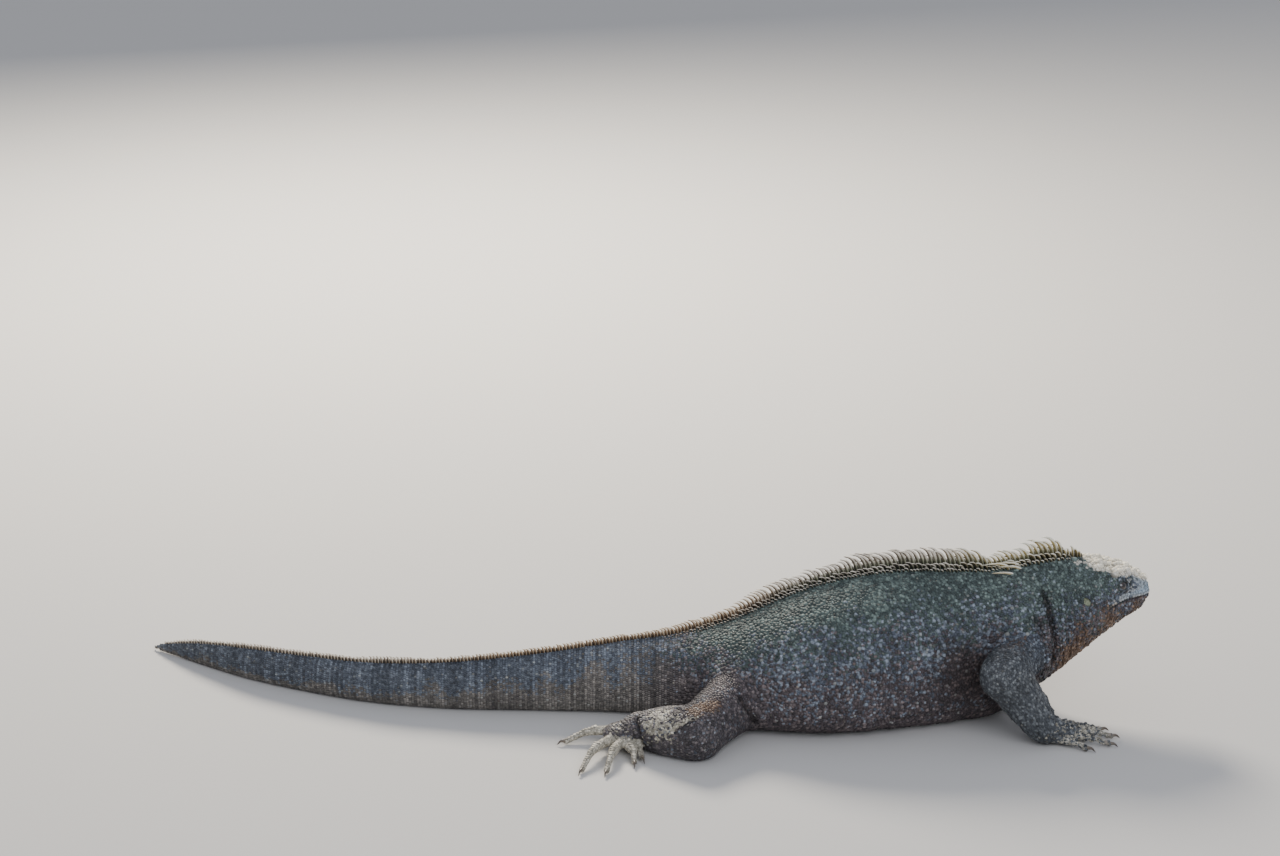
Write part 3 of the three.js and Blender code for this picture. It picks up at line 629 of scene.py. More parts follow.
def neck_strands(points, distance, above):
    """The upright wrinkles of the neck, from -1 on their tops to 1 between them."""
    reach = smooth(points[:, 0], 186, 208) * (1 - smooth(points[:, 0], 238, 256))
    reach = reach * (1 - smooth(above, 44, 60)) * (0.65 + 0.35 * long_folds.at(points))
    return reach * np.sin(distance * 2 * math.pi / STRAND_WIDTH + 1.6 * small_folds.at(points * UPRIGHT))


def body_distance(points, fine=True):
    """The distance from each place to the skin, negative inside."""
    place = track.locate(points)
    distance, _, above = place
    field = trunk_distance(points, place)
    head = np.nonzero((points[:, 0] > HEAD_FROM - 16) & (field < 12))[0]
    if len(head):
        field[head] -= forms_of_head(points[head], distance[head])
        if fine:
            field[head] = head_detail(points[head], field[head], distance[head])
    for leg in LEGS.values():
        near = inside_box(points, *leg["box"])
        if not len(near):
            continue
        limb, near_root = leg_distance(points[near], leg)
        width = mix(SIDE_BLEND, ROOT_BLEND, smooth(near_root, 0.2, 0.75))
        field[near] = joined(field[near], limb, width)
    if fine:
        close = np.nonzero(np.abs(field) < 8)[0]
        spots = points[close]
        loose = smooth(spots[:, 0], -230, -120) * (1 - smooth(spots[:, 0], 205, 240))
        flank = loose * (1 - smooth(above[close], 10, 70))
        throat = smooth(spots[:, 0], 205, 232) * (1 - smooth(above[close], -12, 6))
        rings = np.sin(distance[close] * 2 * math.pi / THROAT_WIDTH + small_folds.at(spots))
        field[close] += crease_depth(spots)
        field[close] += LOOSE_SKIN * flank * long_folds.at(spots * UPRIGHT)
        field[close] += FINE_FOLDS * smooth(spots[:, 0], 130, 180) * small_folds.at(spots * UPRIGHT)
        field[close] += STRANDS * neck_strands(spots, distance[close], above[close])
        field[close] += THROAT_FOLDS * throat * rings
    field = field + COAT_DEPTH
    return cut(field, FLOOR_ROOM - points[:, 2], FLOOR_EDGE)


CORNERS = vec([1, 1, 1], [1, -1, -1], [-1, 1, -1], [-1, -1, 1])  # of a tetrahedron


def distance_and_slope(points, step=0.2, fine=True):
    """The field's value and slope, from four places round each point."""
    total, slope = np.zeros(len(points)), np.zeros_like(points)
    for corner in CORNERS:
        value = body_distance(points + step * corner, fine)
        total += value / 4
        slope += value[:, None] * corner / (4 * step)
    return total, slope


def settle(points, rounds=2, most=2.5):
    """Moves points along the field's slope onto the skin, and gives the outward directions there. In a
    fold they go straight in, along the slope of the plain body, so that its walls don't cross."""
    slope = np.zeros_like(points)
    folded = np.nonzero(np.abs(crease_depth(points)) > 0.1)[0]
    _, straight = distance_and_slope(points[folded], fine=False)
    for _ in range(rounds):
        distance, slope = distance_and_slope(points)
        way = slope.copy()
        way[folded] = unit(straight)
        step = distance / np.maximum((slope * way).sum(1), 0.3)
        points = points - np.clip(step, -most, most)[:, None] * way
    return points, unit(slope)


folds = [(settle(np.array(line, float), 6, 4)[0], depth, half) for line, depth, half in CREASES]
# Just over the knee's fold, where a painted highlight lies along its edge.
knee_highlight_line = folds[KNEE][0] + vec(0, 0, 2.6)
knee_highlight_line = np.vstack([mix(knee_highlight_line[:-1], knee_highlight_line[1:], share) for share in np.linspace(0, 1, 6)])


# Meshes

BATCH = 40000  # how many places of the grid are worked out at a time


def surface_net(axes, values):
    """Vertices and quads of the surface where the values on a grid pass through 0."""
    inside = values < 0
    corners = [(i, j, k) for i in (0, 1) for j in (0, 1) for k in (0, 1)]
    size = [n - 1 for n in values.shape]
    count = sum(
        inside[i : i + size[0], j : j + size[1], k : k + size[2]].astype(np.int8) for i, j, k in corners
    )
    cells = np.argwhere((count > 0) & (count < 8))
    number = np.full(size, -1)
    number[tuple(cells.T)] = np.arange(len(cells))
    total = np.zeros((len(cells), 3))
    hits = np.zeros(len(cells))
    for axis in range(3):
        for u in (0, 1):
            for v in (0, 1):
                start = cells.copy()
                start[:, (axis + 1) % 3] += u
                start[:, (axis + 2) % 3] += v
                end = start.copy()
                end[:, axis] += 1
                a, b = values[tuple(start.T)], values[tuple(end.T)]
                crossed = (a < 0) != (b < 0)
                share = np.where(crossed, a / np.where(crossed, a - b, 1), 0)
                ends = [np.stack([axes[n][p[:, n]] for n in range(3)], axis=1) for p in (start, end)]
                total += np.where(crossed[:, None], ends[0] + share[:, None] * (ends[1] - ends[0]), 0)
                hits += crossed
    quads = []
    for axis in range(3):
        low = [slice(None)] * 3
        high = [slice(None)] * 3
        low[axis], high[axis] = slice(None, -1), slice(1, None)
        edges = np.argwhere(inside[tuple(low)] != inside[tuple(high)])
        u, v = (axis + 1) % 3, (axis + 2) % 3
        around = []
        for du, dv in ((0, 0), (1, 0), (1, 1), (0, 1)):
            cell = edges.copy()
            cell[:, u] -= du
            cell[:, v] -= dv
            around.append(number[tuple(cell.T)])
        face = np.stack(around, axis=1)
        outward = inside[tuple(low)][tuple(edges.T)]
        quads.append(np.where(outward[:, None], face, face[:, ::-1]))
    return total / hits[:, None], np.concatenate(quads)


def untangled(values):
    """Fills in corners of a grid until none of its squares has its inside corners on one diagonal only,
    where the net would meet itself along an edge."""
    for _ in range(4):
        for axis in range(3):
            plane = np.moveaxis(values, ((axis + 1) % 3, (axis + 2) % 3), (0, 1))
            inside = plane < 0
            a, b, c, d = inside[:-1, :-1], inside[1:, 1:], inside[1:, :-1], inside[:-1, 1:]
            rising, falling = a & b & ~c & ~d, c & d & ~a & ~b
            plane[1:, :-1][rising] = -0.01
            plane[:-1, :-1][falling] = -0.01
    return values


def tube_faces(first, around, rings, clockwise=False):
    """The faces between the rings of a tube, whose points start at first and end with its tip. Clockwise
    says that the rings run so, seen from the tip."""
    faces = []
    for ring in range(rings):
        low, high = first + ring * around, first + (ring + 1) * around
        for i in range(around):
            a, b = i, (i + 1) % around
            if clockwise:
                a, b = b, a
            if ring < rings - 1:
                faces.append((low + a, low + b, high + b, high + a))
            else:
                faces.append((low + a, low + b, high))
    return faces


def mesh_of(name, points, faces):
    """A mesh from points in millimetres."""
    mesh = bpy.data.meshes.new(name)
    mesh.from_pydata((points * MM).tolist(), [], faces if isinstance(faces, list) else faces.tolist())
    mesh.polygons.foreach_set("use_smooth", [True] * len(mesh.polygons))
    mesh.update()
    return mesh


def placed(name, data):
    """Adds an object with this mesh, lamp or camera to the scene."""
    thing = bpy.data.objects.new(name, data)
    bpy.context.scene.collection.objects.link(thing)
    return thing


def piece_of(name, mesh, slot, *replaced):
    """Adds a mesh to the scene as a piece of the animal."""
    piece = placed(name, mesh)
    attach(piece, "root")
    if replaced:
        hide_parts(*replaced)
    return piece


def give(mesh, **values):
    """Writes each array as a named value of the mesh's points."""
    for name, array in values.items():
        array = np.asarray(array, np.float32)
        kind = "FLOAT" if array.ndim == 1 else "FLOAT_VECTOR"
        layer = mesh.attributes.get(name) or mesh.attributes.new(name, kind, "POINT")
        layer.data.foreach_set("value" if kind == "FLOAT" else "vector", array.ravel())


def points_of(mesh):
    flat = np.empty(len(mesh.vertices) * 3)
    mesh.vertices.foreach_get("co", flat)
    return flat.reshape(-1, 3) / MM


def coarse_skin():
    """The skin as a net of even quads, from a grid read closely only near the surface."""
    low = np.array(cad_box[0]) / MM - 3 * CELL
    high = np.array(cad_box[1]) / MM + 3 * CELL
    low[2] = -3 * CELL
    counts = (np.ceil((high - low) / CELL / 4) * 4 + 1).astype(int)
    axes = [a + CELL * np.arange(n) for a, n in zip(low, counts)]
    values = None
    for stride in (4, 2, 1):
        some = [axis[::stride] for axis in axes]
        size = [len(axis) for axis in some]
        # Where the coarser grid is far from the skin, its values will do.
        if values is None:
            values = np.zeros(size)
            near = np.ones(size, bool)
        else:
            values = values.repeat(2, 0).repeat(2, 1).repeat(2, 2)[: size[0], : size[1], : size[2]].copy()
            near = np.abs(values) < (1.9 * stride + 2.2) * CELL
        cells = np.argwhere(near)
        places = np.stack([some[n][cells[:, n]] for n in range(3)], axis=1)
        for part in np.array_split(np.arange(len(cells)), max(1, len(cells) // BATCH)):
            values[tuple(cells[part].T)] = body_distance(places[part], fine=False)
    return surface_net(axes, untangled(values))


def finer(mesh, wanted):
    """Divides the edges of a mesh whose ends are both wanted, once."""
    chosen = wanted(points_of(mesh))
    work = bmesh.new()
    work.from_mesh(mesh)
    edges = [edge for edge in work.edges if chosen[edge.verts[0].index] and chosen[edge.verts[1].index]]
    bmesh.ops.subdivide_edges(work, edges=edges, cuts=1, use_grid_fill=True)
    work.to_mesh(mesh)
    work.free()
    mesh.update()


def settle_mesh(mesh, relax=1, rounds=1):
    """Puts the points of a mesh on the skin, evening them out along it."""
    points = points_of(mesh)
    ends = np.empty(len(mesh.edges) * 2, int)
    mesh.edges.foreach_get("vertices", ends)
    ends = ends.reshape(-1, 2)
    counts = np.bincount(ends.ravel(), minlength=len(points))[:, None]
    for _ in range(relax):
        points, out = settle(points, 1)
        total = np.zeros_like(points)
        for axis in range(3):
            total[:, axis] += np.bincount(ends[:, 0], points[ends[:, 1], axis], len(points))
            total[:, axis] += np.bincount(ends[:, 1], points[ends[:, 0], axis], len(points))
        drift = total / counts - points
        points = points + 0.5 * (drift - (drift * out).sum(1)[:, None] * out)
    points, out = settle(points, rounds)
    mesh.vertices.foreach_set("co", (points * MM).ravel())
    mesh.update()


def near_any(points, places, reach):
    """Which points lie within reach of one of the places."""
    found = np.zeros(len(points), bool)
    for place in places:
        found |= ((points - place) ** 2).sum(1) < reach**2
    return found


def fine_region(points):
    """The head, the toes and the folds."""
    head = points[:, 0] > NECK_FROM - 4
    toes = [vec(*p) for leg in LEGS.values() for toe in leg["toes"] for p in toe]
    return head | near_any(points, toes, 15) | (np.abs(crease_depth(points)) > 0.15)


def finest_region(points):
    """The lips, eyes, ears, nostrils and the deepest folds."""
    off, parted = mouth_offset(points, track.locate(points)[0])
    found = (np.abs(off) < 4) & (parted > 0) | (crease_depth(points) > 0.7)
    for features, reach in ((eyes, 14), (ears, 8), (nostrils, 6)):
        found |= near_any(points, [feature.place for feature in features], reach)
    return found


# Where each place of the skin belongs


def along_legs(points):
    """For places near a leg: how far off it they are, how far along it from 0 at the root to 3 at the
    knuckles and 4 at the tip of a toe, which way it runs there, and a place on its unwrapped skin."""
    gap, share = np.full(len(points), NOWHERE), np.zeros(len(points))
    lie, spot = np.zeros_like(points), np.zeros((len(points), 2))
    for row, leg in enumerate(LEGS.values()):
        near = inside_box(points, *leg["box"])
        some = points[near]
        joints, radii = np.array(leg["joints"], float), [*leg["radii"], leg["palm"]]
        lengths = [(joints[i], joints[i + 1], radii[i], radii[i + 1], i, i + 1) for i in range(3)]
        for toe, (line, sizes) in enumerate(leg["lines"]):
            for i in range(len(line) - 1):
                ends = 3 + i / (len(line) - 1), 3 + (i + 1) / (len(line) - 1)
                lengths.append((line[i], line[i + 1], sizes[i], sizes[i + 1], *ends, toe))
        for start, end, first, last, low, high, *toe in lengths:
            flat = vec(1, 1, 1 / PALM_FLAT) if low == 2 else vec(1, 1, 1)
            one, along = bone(some * flat, start * flat, end * flat, first, last)
            closer = np.nonzero(one < gap[near])[0]
            chosen = near[closer]
            axis = unit(end - start)
            side = unit(np.cross(axis, vec(0, 0, 1)))
            over = np.cross(side, axis)
            offset = some[closer] - start
            round_ = np.arctan2(offset @ side, offset @ over) / (2 * math.pi) + 0.5
            gap[chosen] = one[closer]
            share[chosen] = low + (high - low) * along[closer]
            lie[chosen] = axis
            along_map = 0.01 + 0.15 * share[chosen]
            if toe:
                along_map = 0.48 + 0.1 * toe[0] + 0.08 * (share[chosen] - 3)
            spot[chosen] = np.column_stack([along_map, 0.01 + 0.25 * row + 0.23 * round_])
    return gap, share, lie, spot


class Places:
    """Everything that the scales and markings ask about a set of places on the skin."""

    def __init__(self, points):
        self.points = points
        self.distance, self.right, above = track.locate(points)
        self.strands = neck_strands(points, self.distance, above)
        top, widest, half, fx, fy = track.read(self.distance, "top", "widest", "half", "fx", "fy")
        (self.section,) = track.read(self.distance, "x")
        self.up = above / np.where(above > 0, top - widest, widest)
        self.round = np.arctan2(self.up, self.right / half)
        self.gap, self.share, self.leg_lie, self.leg_spot = along_legs(points)
        self.leg_turn = np.mod(self.leg_spot[:, 1] - 0.01, 0.25) / 0.23
        trunk = trunk_distance(points)
        self.on_leg = smooth(trunk - self.gap, -5, 9)
        back = np.column_stack([-fx, -fy, np.zeros(len(points))])
        self.lie = unit(mix(back, self.leg_lie, self.on_leg[:, None]))
        turn = np.mod(self.round / (2 * math.pi) + 0.25, 1)
        self.spot = np.column_stack([self.distance / track.end, turn])
        self.off, self.parted = mouth_offset(points, self.distance)

    def markings(self):
        """How strongly each marking, painted shade and painted highlight shows, in three sets of three, and
        how light the place is.
        """
        x, y, z = self.points.T
        up, body, section = self.up, 1 - self.on_leg, self.section
        tail = 1 - smooth(x, -250, -150)
        head = smooth(section, 224, 244)
        neck = smooth(x, 160, 205)
        torso = (1 - tail) * (1 - neck)
        wander = long_folds.at(self.points)
        near_side = smooth(-y, 10, 40)
        level = up + 0.12 * wander

        # Green along the back and nape, rust low down, on the hips and on the tail.
        ridge = smooth(level, 0.62, 0.9) * smooth(x, -200, -130)
        moss = torso * (0.5 * ridge + 0.36 * smooth(level, 0.0, 0.7))
        moss = moss + neck * (0.2 + 0.5 * smooth(level, 0.1, 0.7)) * (1 - 0.6 * smooth(section, 262, 290))
        belly = 1 - smooth(z + 5 * wander, 10, 34)
        low, rear = 1 - smooth(level, -0.4, 0.5), 1 - smooth(x, -160, -60)
        rust = torso * (0.34 + 0.22 * low + 0.3 * belly + 0.2 * rear)
        rust = rust + neck * (0.32 + 0.4 * (1 - smooth(level, -0.35, 0.45)))
        base = smooth(x, -460, -300)
        brown = 1 - smooth(level + 0.16 * wander, -0.6 + 0.35 * base, 0.5 + 0.4 * base)
        rust = rust + tail * (0.8 * brown + 0.16 * smooth(x, -380, -260))

        # Salt on the crown, the snout and the lips.
        back = 0.12 * smooth(section, 242, 262)
        crown = smooth(section + 5 * wander, 232, 243) * smooth(up + 0.05 * wander + back, 0.9, 0.99)
        crown = np.maximum(crown, smooth(section, 262, 278) * smooth(up + 0.05 * wander, 0.72, 0.86))
        snout = smooth(section, 283, 306) * smooth(self.off, 2, 9)
        lip = head * self.parted * smooth(self.off, -1, 0.6) * (1 - smooth(self.off, 5, 11))
        pale = np.clip(crown + snout * (0.66 + 0.12 * wander) + lip * smooth(section, 246, 300) * 0.7, 0, 1)
        gold = 0.4 * crown * bump(section, 240, 14)

        # Warm scales on the jowl and haunch, a warm painted highlight along the top of the forelegs, and
        # dusty grey down the legs.
        jowl = smooth(x, 206, 236) * (1 - smooth(level, -0.5, 0.3))
        # Behind the right foreleg, a patch of painted shade with some rust in it.
        armpit = bump(np.hypot(x - ARMPIT[0], (z - ARMPIT[1]) * 0.85), 0, 66) * near_side * body
        along = np.linspace(HAUNCH[0], HAUNCH[1], 8)
        gap = np.min([np.linalg.norm(self.points - place, axis=1) for place in along], axis=0)
        haunch = 0.8 * bump(gap, 0, 18) * (self.on_leg > 0.3)
        # A painted highlight along the top of the forelegs, in the warm colour.
        rim = 0.5 * bump(self.leg_turn, 0.5, 0.2) * self.on_leg * bump(self.share, 0.9, 1.0) * (x > 0)
        warm_and_highlight = np.clip(jowl * 0.9 + haunch + rim, 0, 1)
        rust = np.maximum(np.maximum(rust, 0.8 * armpit) * (1 - pale), gold)
        hind_leg = self.on_leg * (x < 0)
        dusty = self.on_leg * smooth(self.share, 0.2, 1.1) * (1 - haunch) * (1 - 0.75 * hind_leg)

        # Painted shade in the folds, the mouth, the armpit, the nostrils and round the openings of the eyes,
        # and the drums of the ears.
        shade = np.clip(crease_depth(self.points) / 2.6, 0, 1)
        shade = np.maximum(shade, head * self.parted * np.exp(-((self.off / 0.9) ** 2)))
        shade = np.maximum(shade, 0.85 * armpit)
        for nostril in nostrils:
            size, near = nostril.spans(self.points, NOSTRIL_SIZE, NOSTRIL_DEEP)
            shade = np.maximum(shade, (1 - smooth(size, 1.5, 2.8)) * near)
        for eye in eyes:
            size, near = eye.spans(self.points, OPENING, EYE_DEEP)
            shade = np.maximum(shade, 0.8 * (1 - smooth(size, 1.0, 1.5)) * near)
        drum = np.zeros(len(self.points))
        for ear in ears:
            size, near = ear.spans(self.points, EAR_SIZE, EAR_DEEP, EAR_LEAN)
            drum = np.maximum(drum, (1 - smooth(size, 0.7, 1.0)) * near)

        # Pale toes and knuckles, pale speckles on the shank, and a painted highlight along the knee's fold.
        shank = hind_leg * bump(np.linalg.norm(self.points - vec(*SHANK), axis=1), 0, 34)
        knee = near_any(self.points, knee_highlight_line, 2.7)
        toe = np.maximum(smooth(self.share, 2.9, 3.4) * self.on_leg * mix(0.4, 1.1, x < 0), 0.6 * shank)
        toe = np.maximum(toe, 0.24 * smooth(self.share, 1.7, 2.4) * self.on_leg)
        toe = np.maximum(toe, 1.2 * knee)

        # Light and dark streaks, which run up and down, with painted shade in the grooves of the neck's
        # wrinkles and along the top of the back over the hips.
        streak = 0.5 + 0.16 * small_folds.at(self.points * vec(2.4, 1, 0.35)) + 0.06 * wander
        streak = streak - 0.3 * self.strands * body - 0.14 * ridge * (1 - smooth(x, -90, -20))
        rust = np.clip(rust * body + 0.66 * hind_leg, 0, 1)
        return dict(
            marks_a=np.column_stack([np.clip(moss, 0, 1) * body, rust, pale]),
            marks_b=np.column_stack([warm_and_highlight, dusty, shade]),
            marks_c=np.column_stack([tail * body, toe, drum]),
            streak=np.clip(streak, 0, 1),
            crown=crown,
        )


# Node trees


class Tree:
    """A node tree as it is put together."""

    def __init__(self, tree):
        self.tree = tree

    def add(self, kind, inputs=None, **settings):
        """Adds a node with its settings, then gives each input a value or a link."""
        node = self.tree.nodes.new(kind)
        for name, value in settings.items():
            setattr(node, name, value)
        for name, value in (inputs or {}).items():
            if isinstance(value, bpy.types.NodeSocket):
                self.link(value, node.inputs[name])
            else:
                node.inputs[name].default_value = value
        return node

    def link(self, value, socket):
        self.tree.links.new(value, socket)


def group_tree(name, kind, takes, gives):
    """A node group with named inputs and outputs: name to (socket kind, default)."""
    tree = bpy.data.node_groups.new(name, kind)
    for label, (socket, default) in takes.items():
        made = tree.interface.new_socket(label, in_out="INPUT", socket_type=socket)
        if default is not None:
            made.default_value = default
    for label, socket in gives.items():
        tree.interface.new_socket(label, in_out="OUTPUT", socket_type=socket)
    made = Tree(tree)
    made.inputs = made.add("NodeGroupInput").outputs
    made.outputs = made.add("NodeGroupOutput").inputs
    return made


def identifier(tree, label):
    """What a modifier calls the input of a tree that has this label."""
    return next(item.identifier for item in tree.interface.items_tree if item.name == label)


def evaluated(holder, tree, **inputs):
    """The plain mesh that a geometry tree makes of an object."""
    modifier = holder.modifiers.new("grown", "NODES")
    modifier.node_group = tree
    for label, value in inputs.items():
        modifier[identifier(tree, label)] = value
    holder.update_tag()
    graph = bpy.context.evaluated_depsgraph_get()
    mesh = bpy.data.meshes.new_from_object(holder.evaluated_get(graph), depsgraph=graph)
    holder.modifiers.remove(modifier)
    return mesh


# Colours


def tint(code):
    """A colour written as six hex digits, as the linear values that a node takes."""
    parts = [int(code[i : i + 2], 16) / 255 for i in (0, 2, 4)]
    linear = [c / 12.92 if c <= 0.04045 else ((c + 0.055) / 1.055) ** 2.4 for c in parts]
    return (*linear, 1.0)


def ramp(tree, factor, *stops):
    """A colour from a number: stops are (place, colour)."""
    node = tree.add("ShaderNodeValToRGB", {"Fac": factor})
    while len(node.color_ramp.elements) < len(stops):
        node.color_ramp.elements.new(0.5)
    for element, (place, code) in zip(node.color_ramp.elements, stops):
        element.position = place
        element.color = tint(code)
    return node.outputs["Color"]


def blend(tree, factor, under, over, how="MIX"):
    """One colour over another, each a socket, four numbers or six hex digits."""
    node = tree.add("ShaderNodeMix", data_type="RGBA", blend_type=how)
    for index, value in ((0, factor), (6, under), (7, over)):
        if isinstance(value, bpy.types.NodeSocket):
            tree.link(value, node.inputs[index])
        else:
            node.inputs[index].default_value = tint(value) if isinstance(value, str) else value
    return node.outputs[2]


def number(tree, how, *values, clamp=False):
    inputs = dict(enumerate(values))
    return tree.add("ShaderNodeMath", inputs, operation=how, use_clamp=clamp).outputs[0]


def plus(tree, total, *others):
    for other in others:
        total = number(tree, "ADD", total, other)
    return total


def times(tree, first, second, clamp=False):
    return number(tree, "MULTIPLY", first, second, clamp=clamp)


def between(tree, value, low, high, to_low=0.0, to_high=1.0):
    """Carries a value smoothly from one range to another."""
    inputs = {"Value": value, "From Min": low, "From Max": high, "To Min": to_low, "To Max": to_high}
    return tree.add("ShaderNodeMapRange", inputs, interpolation_type="SMOOTHSTEP").outputs["Result"]


def noise(tree, place, size, detail=2.0, rough=0.5):
    inputs = {"Vector": place, "Scale": size, "Detail": detail, "Roughness": rough}
    return tree.add("ShaderNodeTexNoise", inputs).outputs["Fac"]


def read(tree, name, output="Fac"):
    """A named value of the mesh's points."""
    return tree.add("ShaderNodeAttribute", attribute_name=name).outputs[output]


def read_three(tree, name):
    vector = read(tree, name, "Vector")
    return list(tree.add("ShaderNodeSeparateXYZ", {"Vector": vector}).outputs)


def dimmed(tree, colour, light):
    """A colour times a number."""
    grey = tree.add("ShaderNodeCombineColor", {"Red": light, "Green": light, "Blue": light}).outputs[0]
    return blend(tree, 1.0, colour, grey, "MULTIPLY")


def iguana_markings():
    """The animal's colours with their painted shade and highlights, the same on the skin and on every scale.
    """
    tree = group_tree(
        "iguana markings",
        "ShaderNodeTree",
        {"Gap Shade": ("NodeSocketFloat", 0.5)},
        {"Color": "NodeSocketColor", "Roughness": "NodeSocketFloat", "Height": "NodeSocketFloat"},
    )
    place = tree.add("ShaderNodeTexCoord").outputs["Object"]
    wide = noise(tree, place, 21, 3)
    middle = noise(tree, place, 95, 2)
    small = noise(tree, place, 260, 2)
    fine = noise(tree, place, 520, 3, 0.6)
    grit = noise(tree, place, 1500, 2, 0.6)
    tone, tip, crown, streak = [read(tree, name) for name in ("tone", "tip", "crown", "streak")]
    moss, rust, pale = read_three(tree, "marks_a")
    warm_and_highlight, dusty, shade = read_three(tree, "marks_b")
    tail, toe, drum = read_three(tree, "marks_c")

    def another(factor):
        """Another random number for each scale, made from its tone."""
        return number(tree, "FRACT", times(tree, tone, factor))

    def clumped(own):
        """A chance from 0 to 1 that leans towards what the neighbours have."""
        return plus(tree, times(tree, own, 0.5), between(tree, small, 0.3, 0.7, 0.0, 0.5))

    def speckled(mask, chance):
        """Turns a share of the scales that grows with the mask."""
        return between(tree, number(tree, "SUBTRACT", times(tree, mask, 1.2), chance), -0.12, 0.12)

    def shades(dark, mean, light):
        return ramp(tree, value, (0.2, dark), (0.52, mean), (0.86, light))

    # How light each scale is: its own chance, then patches, small and wide.
    own = times(tree, another(3.7), between(tree, tail, 0, 1, 0.34, 0.2))
    value = plus(tree, own, times(tree, small, 0.48), times(tree, wide, 0.22), times(tree, tail, 0.1))

    # The colours of the flanks and tail: blue grey, then brown, green and rust where they show.
    colour = blend(tree, tail, shades("202328", "4d545f", "a2acb6"), shades("25282b", "4b515a", "8c949d"))
    brown = blend(tree, tail, shades("242022", "4c4446", "8e807c"), shades("2e2c2b", "625e59", "a29b92"))
    colour = blend(tree, speckled(rust, clumped(tone)), colour, brown)
    green = shades("22292a", "495552", "8a9a92")
    colour = blend(tree, speckled(moss, clumped(another(7.3))), colour, green)
    russet = shades("33261f", "67503f", "a58a73")
    colour = blend(tree, speckled(warm_and_highlight, clumped(another(11.9))), colour, russet)
    colour = blend(tree, dusty, colour, shades("26282a", "4d5155", "8f9394"))

    # Pale toes with the painted highlight of the knee's fold, and a pale scale here and there.
    bare = times(tree, speckled(toe, clumped(another(5.3))), 0.92)
    colour = blend(tree, bare, colour, shades("6b675c", "bdb7a5", "f6f0e0"))
    fleck = between(tree, another(29.3), 0.985, 0.992, 0.0, 0.4)
    colour = blend(tree, fleck, colour, "b4b6b0")

    # Salt: white on the crown, with gold where it meets the rust; on the snout and lips it is painted blue
    # grey, as painted shade on the salt.
    chance = plus(tree, times(tree, another(17.9), 0.8), times(tree, middle, 0.2))
    salted = times(tree, speckled(pale, chance), 0.92, clamp=True)
    salt_in_shade = ramp(tree, fine, (0.3, "75848f"), (0.7, "a9bac6"))
    salt = blend(tree, crown, salt_in_shade, ramp(tree, fine, (0.3, "e6dcc2"), (0.7, "fff9e8")))
    salt = blend(tree, times(tree, rust, 0.85), salt, "cfa552")
    colour = blend(tree, salted, colour, salt)

    # The drums of the ears, then painted shade in the folds, armpit, eyes, nostrils and mouth.
    colour = blend(tree, drum, colour, ramp(tree, fine, (0.3, "7d826c"), (0.7, "a5aa90")))
    dark = blend(tree, 1.0, colour, (0.3, 0.26, 0.24, 1.0), "MULTIPLY")
    colour = blend(tree, shade, colour, dark)

    # Light and dark in every scale and along the streaks, and painted shade in the gaps between the scales,
    # fading towards their tips.
    light = plus(tree, between(tree, fine, 0.25, 0.75, 0.82, 1.1), times(tree, grit, 0.16))
    light = times(tree, light, between(tree, streak, 0.0, 1.0, 0.64, 1.36))
    light = times(tree, light, between(tree, tip, 0.0, 0.75, tree.inputs["Gap Shade"], 1.08))
    rough = plus(tree, between(tree, fine, 0.3, 0.7, 0.5, 0.64), times(tree, salted, 0.25))
    tree.link(dimmed(tree, colour, light), tree.outputs["Color"])
    tree.link(rough, tree.outputs["Roughness"])
    tree.link(plus(tree, fine, times(tree, grit, 0.4)), tree.outputs["Height"])
    return tree.tree


def material(name, roughness=0.6, specular=0.4):
    """A material with its shader, as a tree to build on."""
    made = bpy.data.materials.new(name)
    made.use_nodes = True
    tree = Tree(made.node_tree)
    tree.material = made
    tree.shader = made.node_tree.nodes["Principled BSDF"]
    tree.shader.inputs["Roughness"].default_value = roughness
    tree.shader.inputs["Specular IOR Level"].default_value = specular
    return tree


def bumped(tree, height, strength, distance):
    """Gives the shader a bump, its distance in metres."""
    node = tree.add("ShaderNodeBump", {"Height": height, "Strength": strength, "Distance": distance})
    tree.link(node.outputs["Normal"], tree.shader.inputs["Normal"])


def marked_material(name, gap_shade, strength, specular):
    """A finish with the animal's markings. Gap shade is how light the painted shade leaves the gaps between
    scales.
    """
    tree = material(name, specular=specular)
    marks = tree.add("ShaderNodeGroup", node_tree=markings_group)
    marks.inputs["Gap Shade"].default_value = gap_shade
    tree.link(marks.outputs["Color"], tree.shader.inputs["Base Color"])
    tree.link(marks.outputs["Roughness"], tree.shader.inputs["Roughness"])
    bumped(tree, marks.outputs["Height"], strength, 0.0006)
    return tree.material


markings_group = iguana_markings()
skin_material = marked_material("iguana skin", 0.5, 0.6, 0.35)
scale_material = marked_material("iguana scales", 0.3, 0.5, 0.4)


